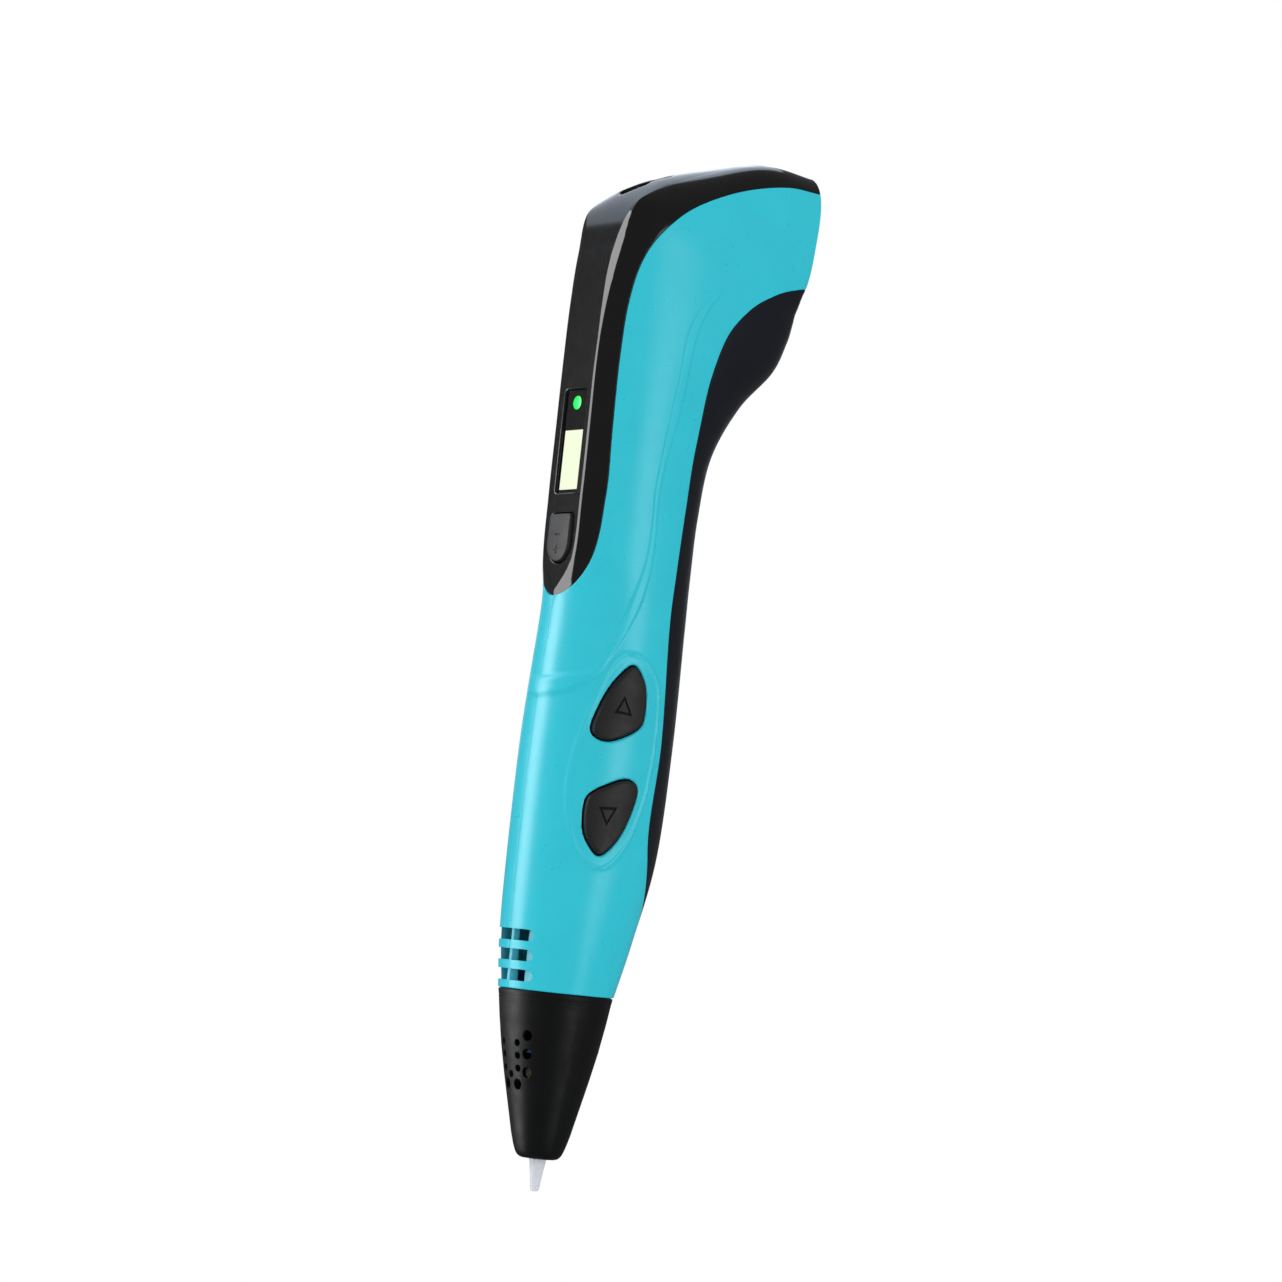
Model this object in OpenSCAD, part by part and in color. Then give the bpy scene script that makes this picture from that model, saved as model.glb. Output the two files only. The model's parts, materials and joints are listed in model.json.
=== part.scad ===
// 3D printing pen: a moulded two-half grip with a display panel, a cone-shaped hot end guard
// and a filament drive in the head.  Units are millimetres.
// Frame: the origin is the lowest point of the nozzle, +Z runs up the filament path,
// the display faces -Y and the two drive buttons are on the +X side.

/* [Housing] */
// thickness of the moulded walls
wall = 1.8; // [1.4:0.1:2.0]
// how far the drive buttons stand proud of the grip
button_rise = 0.6; // [0.3:0.1:0.9]
// gap around each drive button
button_gap = 0.2; // [0.15:0.05:0.3]
// height of one cooling slot
slot_height = 2.0; // [1.6:0.1:2.4]
// distance between neighbouring cooling slots
slot_pitch = 3.5; // [3:0.1:4]

/* [Display] */
// width of the window in the panel
window_w = 6.4; // [5.8:0.1:6.8]
// length of the window in the panel
window_h = 18.4; // [17:0.1:19]
// width of the lit screen
screen_w = 5.6; // [5:0.1:5.8]
// length of the lit screen
screen_h = 10.6; // [9:0.1:11]
// radius of the status light
led_r = 1.2; // [0.8:0.05:1.25]

/* [Filament path] */
// filament diameter that the path is bored for
filament_d = 1.75; // [1.6:0.05:1.8]
// radius of the nozzle outlet
nozzle_r = 0.35; // [0.2:0.05:0.45]
// radius of the drive gear over its teeth
hob_r = 2.5; // [2.3:0.1:2.6]
// radius of the idler bearing
idler_r = 3.0; // [2.8:0.1:3.1]

/* [Power] */
// radius of the power plug that the socket takes
plug_r = 1.75; // [1.5:0.05:1.8]

/* [Render] */
// curve quality
$fn = 48; // [32:8:96]

/* [Hidden] */
// Outer form of the housing: rings that fan out from the front outline to the back outline.
// front y, front z, back y, back z, half width, half of the front flat, widest place,
// roundness in front, roundness behind, panel edge angle, cover edge angle
rings = [
    [-10.2,  34.8, 10.2,  34.8, 10.2, 0.0, 0.50, 2.0, 2.0,  0, 180],
    [-11.0,  45.0, 12.8,  45.0, 11.4, 0.0, 0.50, 2.0, 2.0,  0, 180],
    [-11.2,  60.0, 16.0,  60.0, 12.3, 0.0, 0.50, 2.0, 2.0, 0, 119],
    [-11.0,  80.0, 17.0,  80.0, 12.4, 0.0, 0.50, 2.0, 2.0, 0, 116],
    [ -9.8, 100.0, 17.0, 100.0, 12.0, 0.0, 0.50, 2.0, 2.0, 0, 110],
    [ -9.4, 110.0, 17.1, 110.0, 11.8, 4.6, 0.48, 2.0, 2.0, 38, 113],
    [ -9.4, 122.0, 17.4, 121.0, 11.8, 5.2, 0.48, 2.0, 2.0, 46, 115],
    [ -9.4, 134.0, 18.6, 132.0, 11.8, 5.2, 0.46, 2.0, 2.2, 45.5, 113],
    [ -9.4, 146.0, 23.8, 142.0, 11.8, 5.2, 0.44, 2.0, 2.3, 44, 105],
    [ -9.0, 157.0, 30.4, 149.6, 11.9, 5.6, 0.44, 2.1, 2.4, 43.5, 100],
    [ -8.0, 166.0, 32.8, 155.2, 11.8, 6.4, 0.45, 2.2, 2.5, 49, 106],
    [ -5.9, 174.3, 33.3, 158.4, 11.6, 7.2, 0.46, 2.4, 2.7, 61, 115.5],
    [  0.9, 179.2, 33.1, 160.0, 11.4, 6.0, 0.47, 2.6, 2.9, 59.5, 120],
    [ 12.2, 183.8, 32.8, 161.0, 11.0, 4.0, 0.48, 2.8, 3.2, 56, 123],
    [ 23.8, 187.3, 32.4, 161.6, 10.4, 2.4, 0.49, 2.8, 3.4, 57, 125],
    [ 34.4, 187.3, 32.0, 162.0,  9.2, 1.0, 0.50, 2.7, 3.6, 52, 124]];
last_ring = len(rings) - 1;
panel_start = 4 + 1 / 3;
cover_start = 1;
panel_tip_angle = 38;
cover_tip_angle = 61;
blunt_angle = 3;           // half width of the blunt tips of the panel and the cover
// places along the rings where a section is drawn: closer at the rounded panel and cover tips
tip_gap = 0.02;            // how far the shells stop short of the panel and cover tips
places = concat(
    [0, 1/3, 2/3, cover_start - tip_gap, cover_start, 7/6, 4/3, 1.5, 5/3, 11/6, 2, 7/3, 8/3, 3, 10/3, 11/3,
        4, panel_start - tip_gap, panel_start, 4.5, 14/3, 29/6],
    [for (i = [15:3 * last_ring]) i / 3]);
rear_steps = [0.7, 0.35, 0];

path_y = 2.9;              // the filament enters behind the centre line
jack_y = -1.7;
jack_top = 175.3;
inlet_top = 178.2;
feed_z = 158;              // height of the drive gear
hob_x = hob_r + 0.8;
idler_x = -(idler_r + 0.85);
pivot = [-7.6, 150];
bore_r = filament_d / 2 + 0.15;
joint_z = 34.7;            // where the cone meets the grip
cone_wall = 1.3;
slot_z = [for (i = [0:2]) 37.2 + i * slot_pitch];
slot_rib = 0.7;
slot_rib_y = -10.1;
window_z = 122.2;
screen_z = 122.8;
led_z = 138.3;
panel_y = -9.4;            // front face of the panel
rocker_z = 114.1;
rocker_axis_y = -6.8;
screen_y = panel_y + 1;    // front face of the lit screen
// drive buttons: y and z of the outline's centre, its turn, and y and z of the mark
forward_key = [-0.2, 86.0, 0, 0, 85.0];
reverse_key = [-0.9, 66.0, 180, -0.9, 66.0];
board_x = 3.4;
board_t = 1.0;
display_board_y = -4.8;
// housing screws: y, z and how far the boss reaches out to the wall
screws = [[-6.5, 47.2, 7.4], [5.6, 66, 10.2], [5, 107, 10.8], [20, 172, 9.6]];
screw_r = 0.85;
boss_r = 1.7;
head_r = 1.25;
head_x = 6.2;
screw_depth = 5;           // how far the screws reach into the right shell
turquoise = [0.12, 0.56, 0.65];
gloss_black = [0.02, 0.02, 0.02];
navy = [0.06, 0.07, 0.09];
charcoal = [0.09, 0.09, 0.1];
matte_black = [0.05, 0.05, 0.055];
steel = [0.7, 0.71, 0.73];
dark_steel = [0.35, 0.36, 0.38];
brass = [0.8, 0.62, 0.25];
white = [0.9, 0.9, 0.92];
green_board = [0.05, 0.3, 0.14];
chip = [0.06, 0.06, 0.07];

// ---- outer form ----

// value between four neighbouring rings, f running from the second to the third
function blend(a, b, c, d, f) =
    0.5 * (2 * b + (c - a) * f + (2 * a - 5 * b + 4 * c - d) * f * f
        + (3 * b - a - 3 * c + d) * f * f * f);

function ring_at(t) =
    let (i = min(floor(t), last_ring - 1), f = t - i,
        before = i > 0 ? rings[i - 1] : 2 * rings[0] - rings[1],
        after = i + 2 <= last_ring ? rings[i + 2] : 2 * rings[last_ring] - rings[last_ring - 1])
    blend(before, rings[i], rings[i + 1], after, f);

// point of the skin at place t and angle a (0 in front, 180 behind), inset by d
function skin(t, a, d = 0) =
    let (r = ring_at(t),
        full = norm([r[2] - r[0], r[3] - r[1]]),
        ey = (r[2] - r[0]) / full,
        ez = (r[3] - r[1]) / full,
        half = r[4] - d,
        flat = max(r[5] - d / 2, 0),
        long = full - 2 * d,
        front = r[6] * long,
        k = (1 - (flat / half) ^ r[7]) ^ (1 / r[7]),
        edge = acos(min(1, k ^ (r[7] / 2))),
        b = abs(a),
        away = b < edge ? 0
            : b <= 90 ? front * (1 - cos(b) ^ (2 / r[7]) / k)
            : front + (long - front) * (-cos(b)) ^ (2 / r[8]),
        x = b < edge ? flat * b / edge
            : b <= 90 ? half * sin(b) ^ (2 / r[7])
            : half * max(sin(b), 0) ^ (2 / r[8]),
        pull = d * max(0, t - last_ring + 1))
    [sign(a) * x, r[0] + ey * (d + away) - pull, r[1] + ez * (d + away)];

function panel_angle(t) =
    t < panel_start ? 0
    : t < 5 ? blunt_angle
        + (panel_tip_angle - blunt_angle) * sqrt((t - panel_start) / (5 - panel_start))
    : ring_at(t)[9];

function cover_angle(t) =
    t < cover_start ? 180
    : t < 2 ? 180 - blunt_angle
        - (cover_tip_angle - blunt_angle) * sqrt((t - cover_start) / (2 - cover_start))
    : ring_at(t)[10];

// closed solid between an outer grid of points and the matching inner grid
module plate_between(outer, inner) {
    n = len(outer);
    m = len(outer[0]);
    points = [for (row = concat(outer, inner)) each row];
    function at(i, j) = i * m + j;
    function quad(a, b, c, d) = [[a, c, b], [a, d, c]];
    top = [for (i = [0:n - 2], j = [0:m - 2])
        each quad(at(i, j), at(i, j + 1), at(i + 1, j + 1), at(i + 1, j))];
    under = [for (i = [n:2 * n - 2], j = [0:m - 2])
        each quad(at(i, j), at(i + 1, j), at(i + 1, j + 1), at(i, j + 1))];
    sides = [for (i = [0:n - 2]) each concat(
        quad(at(i, 0), at(i + 1, 0), at(n + i + 1, 0), at(n + i, 0)),
        quad(at(i + 1, m - 1), at(i, m - 1), at(n + i, m - 1), at(n + i + 1, m - 1)))];
    ends = [for (j = [0:m - 2]) each concat(
        quad(at(0, j + 1), at(0, j), at(n, j), at(n, j + 1)),
        quad(at(n - 1, j), at(n - 1, j + 1), at(2 * n - 1, j + 1), at(2 * n - 1, j)))];
    polyhedron(points, concat(top, under, sides, ends));
}

// one row of skin points from angle a to angle b
function row(t, a, b, count, d) = [for (j = [0:count]) skin(t, a + (b - a) * j / count, d)];

// ---- housing ----

side_columns = 14;

// half of the grip between the panel and the cover, with its share of the flat rear wall
module side_shell() {
    rows = function(d) concat(
        [for (t = places) row(t, panel_angle(t), cover_angle(t), side_columns, d)],
        [for (s = rear_steps) [for (p = row(last_ring, panel_angle(last_ring),
            cover_angle(last_ring), side_columns, d)) [p[0] * s, p[1], p[2]]]]);
    plate_between(rows(0), rows(wall));
}

module bosses() {
    for (s = screws) translate([0, s[0], s[1]]) rotate([0, 90, 0]) cylinder(r = boss_r, h = s[2]);
}

module screw_holes(r, from, depth) {
    for (s = screws) translate([from, s[0], s[1]]) rotate([0, 90, 0]) cylinder(r = r, h = depth);
}

// three slots in front, crossed by a thin rib that lies back from the surface
module cooling_slots() {
    difference() {
        for (z = slot_z) translate([0, -5, z]) rotate([90, 0, 0]) {
            cube([8.4, slot_height, 16], center = true);
            for (s = [-1, 1]) translate([s * 4.2, 0, 0])
                cylinder(r = slot_height / 2, h = 16, center = true);
        }
        translate([-slot_rib / 2, slot_rib_y, 34]) cube([slot_rib, 4, 14]);
    }
}

// outline of a drive button as circles: y and z from the button's place, then radius
key_circles = [[1.3, 5.2, 1.6], [1.5, 0.8, 3.0], [-3.2, -4.5, 1.8], [-0.6, -3.0, 3.9]];

module key_outline(turn, grow = 0) {
    rotate(turn) hull() for (c = key_circles) translate([c[0], c[1]]) circle(r = c[2] + grow, $fn = 32);
}

module key_prism(key, grow, from, to) {
    translate([from, key[0], key[1]]) rotate([90, 0, 90]) linear_extrude(to - from) key_outline(key[2], grow);
}

module right_shell() {
    color(turquoise) difference() {
        union() {
            side_shell();
            bosses();
        }
        screw_holes(screw_r, -1, screw_depth + 1);
        key_prism(forward_key, button_gap, 6, 16);
        key_prism(reverse_key, button_gap, 6, 16);
        cooling_slots();
    }
}

module left_shell() {
    color(turquoise) mirror([1, 0, 0]) difference() {
        union() {
            side_shell();
            bosses();
        }
        screw_holes(screw_r + 0.1, -1, 12);
        screw_holes(head_r + 0.1, head_x, 12);
        cooling_slots();
    }
}

panel_columns = 14;

module panel_skin() {
    edge = panel_angle(last_ring);
    rows = function(d) concat(
        [for (t = places) if (t >= panel_start)
            row(t, -panel_angle(t), panel_angle(t), panel_columns, d)],
        [for (s = rear_steps) rear_share(row(last_ring, -edge, edge, panel_columns, d),
            skin(last_ring, edge, d), s)]);
    plate_between(rows(0), rows(wall));
}

// flat rear wall: the last row drawn in towards the height of the edge point
function rear_share(last_row, edge, s) =
    let (keep = max(s, 0.02))
    [for (p = last_row) [p[0], edge[1] + (p[1] - edge[1]) * keep, edge[2] + (p[2] - edge[2]) * keep]];

module inlet_opening(grow = 0) {
    translate([0, jack_y, 168]) cylinder(r = 2.2 + grow, h = 20);
    translate([0, path_y, 168]) cylinder(r = 1.4 + grow, h = 20);
    translate([-1.2, jack_y, 168]) cube([2.4, path_y - jack_y, 20]);
}

// round-bottomed shield outline, upright in X and Z
module shield_outline(grow = 0) {
    r = 3.4 + grow;
    difference() {
        union() {
            translate([0, -0.9]) circle(r = r);
            translate([-r, -0.9]) square([2 * r, 5.2 + grow]);
        }
        translate([-10, 4.3 + grow]) square(20);
    }
}

module front_cut(y0, y1) {
    translate([0, y1, 0]) rotate([90, 0, 0]) linear_extrude(y1 - y0) children();
}

module face_panel() {
    color(gloss_black) {
        difference() {
            union() {
                panel_skin();
                rocker_lugs();
            }
            front_cut(-12, -5) translate([0, rocker_z]) shield_outline(0.2);
            front_cut(-12, -5) translate([-window_w / 2, window_z]) square([window_w, window_h]);
            inlet_opening();
            rocker_bore(0.5, 10);
        }
    }
}

module rocker_lugs() {
    for (x = [-4.9, 3.7]) translate([x, panel_y + wall - 0.2, rocker_z - 1.4]) cube([1.2, 2.4, 2.8]);
}

module rocker_bore(r, length) {
    translate([-length / 2, rocker_axis_y, rocker_z]) rotate([0, 90, 0]) cylinder(r = r, h = length);
}

cover_columns = 10;

// back cover row: from the cover's edge round the back centre line to the other edge
function cover_row(t, a, d) = concat(
    [for (j = [0:cover_columns / 2]) skin(t, a + (180 - a) * j * 2 / cover_columns, d)],
    [for (j = [1:cover_columns / 2]) skin(t, -180 + (180 - a) * j * 2 / cover_columns, d)]);

module back_cover() {
    edge = cover_angle(last_ring);
    rows = function(d) concat(
        [for (t = places) if (t >= cover_start) cover_row(t, cover_angle(t), d)],
        [for (s = rear_steps) rear_share(cover_row(last_ring, edge, d), skin(last_ring, edge, d), s)]);
    color(navy) plate_between(rows(0), rows(wall));
}

// ---- hot end ----

cone_outline = [[1.75, 5.7], [2.9, 5.8], [3.7, 6.2], [4.2, 6.8], [4.6, 7.8], [5.2, 10], [6.35, 15],
    [7.5, 20], [8.55, 25], [9.4, 30], [10.1, joint_z]];

module nozzle_cone() {
    inner = [for (i = [len(cone_outline) - 1:-1:4])
        [cone_outline[i][0] - cone_wall, cone_outline[i][1]]];
    color(matte_black) difference() {
        rotate_extrude() polygon(concat(cone_outline, inner, [[1.75, 7.0]]));
        for (s = [-1, 1]) {
            for (z = [20.5, 23.7, 26.9]) radial_hole(s * 28, z, 0.88);
            for (z = [21.1, 23.3, 25.5]) radial_hole(s * 14, z, 0.58);
            radial_hole(s * 12, 18.3, 0.88);
        }
        radial_hole(0, 20.0, 0.58);
    }
}

module radial_hole(angle, z, r) {
    rotate([0, 0, angle]) translate([0, 0, z]) rotate([90, 0, 0]) cylinder(r = r, h = 14);
}

module tube(r_out, r_in, z0, z1) {
    translate([0, 0, z0]) difference() {
        cylinder(r = r_out, h = z1 - z0);
        translate([0, 0, -1]) cylinder(r = r_in, h = z1 - z0 + 2);
    }
}

module joining_ring() {
    color(charcoal) difference() {
        union() {
            tube(8.2, 7.4, 31, 38.5);
            for (a = [45:90:315]) rotate([0, 0, a]) translate([7.4, -0.8, 34.7]) cube([0.95, 1.6, 1.2]);
        }
        translate([0, -5, 37.2]) rotate([90, 0, 0]) cube([8.4, slot_height + 1.2, 16], center = true);
    }
}

module nozzle_tip() {
    color(white) rotate_extrude() polygon([[nozzle_r, 0.05], [0.45, 0], [0.62, 0.08], [0.72, 0.3],
        [0.85, 1], [1.1, 3], [1.4, 5], [1.65, 6.2], [1.65, 7.4], [2.6, 9], [2.6, 10.5], [bore_r, 10.5],
        [bore_r, 4], [nozzle_r, 2.6]]);
}

module heater_barrel() {
    color(brass) tube(2.0, bore_r, 10.5, 26);
}

module heater_sleeve() {
    color(white) {
        tube(2.9, 2.05, 11, 22);
        for (z = [12.5:2:20.5]) tube(3.05, 2.8, z, z + 0.8);
    }
}

module thermistor() {
    color(dark_steel) translate([0, 2.35, 23.3]) {
        sphere(r = 0.35);
        cylinder(r = 0.12, h = 0.7);
    }
}

module insulation() {
    color([0.75, 0.68, 0.5]) tube(4.2, 3.15, 13.2, 22.4);
}

module barrel_carrier() {
    color(charcoal) difference() {
        tube(6.7, 2.05, 24, 26);
        for (a = [60:120:300]) rotate([0, 0, a]) translate([4.6, 0, 23]) cylinder(r = 0.9, h = 4);
    }
}

module heat_break() {
    color(steel) tube(1.6, bore_r, 26, 43);
}

module cooling_collar() {
    color([0.75, 0.76, 0.78]) {
        tube(2.8, 1.65, 28.5, 43);
        for (z = [29:2.6:42]) tube(5.5, 2.6, z, z + 0.9);
    }
}

tube_low = [0, 0, 43.2];
tube_high = [0, path_y, 145.9];

module guide_tube() {
    run = tube_high - tube_low;
    color([0.88, 0.9, 0.92]) translate(tube_low) rotate([-atan(run[1] / run[2]), 0, 0])
        tube(1.8, bore_r, 0, norm(run));
}

// ---- filament drive ----

module feed_guide() {
    color(charcoal) difference() {
        translate([-2.8, 0.6, 146]) cube([5.6, 5.6, 8.1]);
        translate([0, path_y, 145]) cylinder(r = bore_r, h = 12);
        translate([hob_x, 0, feed_z]) rotate([-90, 0, 0]) cylinder(r = hob_r + 0.4, h = 12);
        translate([idler_x, 0, feed_z]) rotate([-90, 0, 0]) cylinder(r = idler_r + 0.5, h = 12);
    }
}

module inlet_bush() {
    color(charcoal) translate([0, path_y, 0]) {
        tube(1.35, bore_r, 162, inlet_top);
    }
}

module power_jack() {
    color(charcoal) difference() {
        union() {
            translate([-2.8, jack_y - 2.8, 163.2]) cube([5.6, 5.6, 7.4]);
            translate([0, jack_y, 170.6]) cylinder(r = 2.15, h = jack_top - 170.6);
        }
        translate([0, jack_y, 165.8]) cylinder(r = plug_r, h = 12);
        translate([0, jack_y, 160]) cylinder(r = 0.5, h = 10);
        translate([0, path_y, 160]) cylinder(r = 1.45, h = 20);
    }
}

module jack_pin() {
    color(brass) translate([0, jack_y, 162]) {
        cylinder(r = 0.5, h = 10.6);
        translate([0, 0, 10.6]) sphere(r = 0.5);
    }
}

module motor_bracket() {
    color(charcoal) difference() {
        union() {
            translate([-8.8, 6.2, 146]) cube([17.4, 1.6, 19]);
            translate([pivot[0], 6.2, pivot[1]]) rotate([90, 0, 0]) cylinder(r = 1.6, h = 0.3);
        }
        translate([hob_x, 0, feed_z]) rotate([-90, 0, 0]) cylinder(r = 1.6, h = 12);
        translate([pivot[0], 4, pivot[1]]) rotate([-90, 0, 0]) cylinder(r = 0.75, h = 8);
        for (s = [-1, 1]) translate([hob_x, 4, feed_z + s * 2.8]) rotate([-90, 0, 0])
            cylinder(r = 0.6, h = 8);
    }
}

module along_y(y, z, x) {
    translate([x, y, z]) rotate([-90, 0, 0]) children();
}

module gearbox() {
    color(steel) difference() {
        along_y(7.8, feed_z, hob_x) {
            cylinder(r = 4, h = 9);
            for (h = [2.5, 5.5]) translate([0, 0, h]) cylinder(r = 4.1, h = 0.4);
        }
        along_y(6, feed_z, hob_x) cylinder(r = 1.05, h = 8);
        for (s = [-1, 1]) along_y(6, feed_z + s * 2.8, hob_x) cylinder(r = 0.6, h = 3.8);
    }
}

module motor_can() {
    color(dark_steel) difference() {
        along_y(16.8, feed_z, hob_x) cylinder(r = 4, h = 9.6);
        along_y(20.8, feed_z, hob_x) cylinder(r = 0.55, h = 8);
        for (s = [-1, 1]) translate([hob_x - 3, 16, feed_z + s * 4.0 - 0.5]) cube([6, 12, 1]);
    }
}

module motor_cap() {
    color(white) difference() {
        along_y(26.4, feed_z, hob_x) cylinder(r = 3.4, h = 1.2);
        along_y(26, feed_z, hob_x) cylinder(r = 0.55, h = 3);
    }
}

module rotor_shaft() {
    color(steel) along_y(21, feed_z, hob_x) cylinder(r = 0.5, h = 7.4);
}

module output_shaft() {
    color(steel) along_y(0.9, feed_z, hob_x) difference() {
        cylinder(r = 1.0, h = 12.8);
        translate([0.75, -2, -1]) cube([2, 4, 6]);
    }
}

module drive_gear() {
    teeth = 20;
    outline = [for (i = [0:teeth - 1], k = [0:3])
        let (r = k < 2 ? hob_r : hob_r - 0.3, a = (i + k / 4) * 360 / teeth) r * [cos(a), sin(a)]];
    color(brass) along_y(1.5, feed_z, hob_x) difference() {
        union() {
            linear_extrude(2.8) polygon(outline);
            translate([0, 0, 2.8]) cylinder(r = 1.7, h = 1.2);
        }
        translate([0, 0, -1]) difference() {
            cylinder(r = 1.02, h = 8);
            translate([0.77, -2, -1]) cube([2, 4, 12]);
        }
    }
}

module idler_bearing() {
    color(steel) along_y(1.65, feed_z, idler_x) difference() {
        cylinder(r = idler_r, h = 2.5);
        translate([0, 0, -1]) cylinder(r = 0.75, h = 5);
        for (h = [-0.2, 2.3]) translate([0, 0, h]) difference() {
            cylinder(r = 2.4, h = 0.4);
            translate([0, 0, -1]) cylinder(r = 1.5, h = 3);
        }
    }
}

module idler_axle() {
    color(steel) along_y(0.4, feed_z, idler_x) cylinder(r = 0.7, h = 5);
}

module idler_lever() {
    color(charcoal) difference() {
        union() {
            along_y(0.4, pivot[1], pivot[0]) cylinder(r = 1.7, h = 4);
            translate([-8.5, 0.4, pivot[1]]) cube([1.4, 5.0, feed_z + 4 - pivot[1]]);
            for (y = [0.4, 4.4]) {
                translate([-8.5, y, feed_z - 1.6]) cube([idler_x + 8.5, 1.0, 3.2]);
                along_y(y, feed_z, idler_x) cylinder(r = 1.6, h = 1.0);
            }
        }
        along_y(-1, pivot[1], pivot[0]) cylinder(r = 0.8, h = 9);
        along_y(-1, feed_z, idler_x) cylinder(r = 0.7, h = 9);
        translate([pivot[0] - 1.9, 4.4, pivot[1] - 2.2]) cube([3.8, 2, 4.4]);
    }
}

module lever_pin() {
    color(steel) along_y(-0.2, pivot[1], pivot[0]) {
        cylinder(r = 0.75, h = 8);
        translate([0, 0, -0.4]) cylinder(r = 1.3, h = 0.4);
    }
}

module lever_spring() {
    coil_r = 1.15;
    wire_r = 0.2;
    color(steel) {
        along_y(4.5, pivot[1], pivot[0]) {
            tube(coil_r + 0.1, coil_r - 0.25, 0, 1.35);
            for (y = [0:0.46:1]) tube(coil_r + 0.25, coil_r - 0.2, y, y + 0.43);
        }
        translate([pivot[0], 5.64, pivot[1] + coil_r]) rotate([0, 90, 0]) cylinder(r = wire_r, h = 4.4);
        translate([pivot[0] - coil_r, 4.72, pivot[1]]) cylinder(r = wire_r, h = 3);
    }
}

module bracket_screws() {
    color(dark_steel) for (s = [-1, 1]) along_y(5.4, feed_z + s * 2.8, hob_x) {
        cylinder(r = 0.95, h = 0.8);
        cylinder(r = 0.55, h = 4);
    }
}

// ---- electronics ----

module main_board() {
    color(green_board) translate([board_x, -6, 50]) cube([board_t, 9.8, 54]);
}

module main_chips() {
    color(chip) translate([board_x - 1.1, 0, 0]) {
        translate([0, -4, 92]) cube([1.1, 4, 5]);
        translate([0, -5, 72]) cube([1.1, 3, 6]);
        translate([0, -4.5, 60]) cube([1.1, 2.4, 2.4]);
        translate([0, -4.5, 56]) cube([1.1, 2.4, 2.4]);
    }
}

module heater_plug() {
    color(white) translate([board_x + board_t, -3, 50]) cube([2.8, 6, 4.5]);
}

module heater_leads() {
    color([0.75, 0.1, 0.08]) for (y = [-1.2, 1.2]) translate([6.1, y, 26]) cylinder(r = 0.45, h = 24);
}

module board_link() {
    color(chip) translate([board_x, display_board_y, 104]) cube([board_t, 1, 3]);
}

module display_board() {
    color(green_board) translate([-5.5, display_board_y, 107]) cube([11, 1, 39]);
}

module display_chips() {
    color(chip) {
        translate([-2.5, display_board_y + 1, 126]) cube([5, 1.1, 6]);
        for (x = [-4, 0, 4]) translate([x - 0.6, display_board_y + 1, 138]) cube([1.2, 0.8, 2.2]);
    }
}

module screen_module() {
    color(gloss_black) translate([-3.0, screen_y + 0.1, window_z + 0.1])
        cube([6, display_board_y - screen_y - 0.1, screen_h + 1.0]);
}

module screen() {
    color([0.93, 0.97, 0.75]) translate([-screen_w / 2, screen_y, screen_z])
        cube([screen_w, 0.1, screen_h]);
}

module display_window() {
    color([0.1, 0.1, 0.12, 0.5]) difference() {
        translate([-window_w / 2 + 0.05, screen_y - 0.5, window_z + 0.05])
            cube([window_w - 0.1, 0.5, window_h - 0.1]);
        along_y(-10, led_z, 0) cylinder(r = led_r + 0.05, h = 4);
    }
}

module status_light() {
    color([0, 0.9, 0.3]) intersection() {
        along_y(screen_y - 0.8, led_z, 0) cylinder(r = led_r, h = display_board_y - screen_y + 0.8);
        translate([0, screen_y + 0.3, led_z]) union() {
            sphere(r = 1.45);
            along_y(0, 0, 0) cylinder(r = led_r, h = 4);
        }
    }
}

// ---- buttons ----

// skin around the drive buttons, standing proud of the grip
module raised_skin() {
    rows = function(d) [for (t = [1.7:0.1:3.9]) row(t, 35, 120, 20, d)];
    plate_between(rows(-button_rise), rows(2.4));
}

module drive_button(key) {
    color(charcoal) {
        difference() {
            intersection() {
                raised_skin();
                key_prism(key, 0, 6, 16);
            }
            triangle_mark(key);
        }
        translate([8.2, 0, key[1]]) rotate([0, 90, 0]) cylinder(r = 1.4, h = 2.6);
    }
}

// engraved triangle outline that says which way the filament runs
module triangle_mark(key) {
    translate([12.45, key[3], key[4]]) rotate([90, 0, 90]) rotate(90 + key[2]) linear_extrude(2)
        difference() {
            circle(r = 1.9, $fn = 3);
            circle(r = 1.25, $fn = 3);
        }
}

module forward_button() {
    drive_button(forward_key);
}

module reverse_button() {
    drive_button(reverse_key);
}

module side_switches() {
    color(chip) for (key = [forward_key, reverse_key]) translate([board_x + board_t, 0, key[1]])
        difference() {
            translate([0, -2.25, -2.25]) cube([2.4, 4.5, 4.5]);
            translate([1.2, 0, 0]) rotate([0, 90, 0]) cylinder(r = 1.05, h = 4);
        }
}

module plunger(key) {
    color(white) translate([board_x + board_t + 1.8, 0, key[1]]) rotate([0, 90, 0])
        cylinder(r = 1.0, h = 2.0);
}

module forward_plunger() {
    plunger(forward_key);
}

module reverse_plunger() {
    plunger(reverse_key);
}

cap_y = panel_y - button_rise;
cap_back_y = panel_y + 1.2;

module rocker_button() {
    color(charcoal) difference() {
        union() {
            front_cut(cap_y + 0.25, cap_back_y) translate([0, rocker_z]) shield_outline();
            front_cut(cap_y, cap_y + 0.25) translate([0, rocker_z]) shield_outline(-0.25);
            translate([-2.6, cap_back_y, rocker_z - 3.2]) cube([5.2, 2.2, 6.8]);
        }
        rocker_bore(0.55, 8);
        translate([-0.7, cap_y - 0.2, rocker_z + 2.2]) cube([1.4, 0.35, 0.3]);
        translate([-0.7, cap_y - 0.2, rocker_z - 2.6]) cube([1.4, 0.35, 0.3]);
        translate([-0.15, cap_y - 0.2, rocker_z - 3.15]) cube([0.3, 0.35, 1.4]);
    }
}

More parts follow.
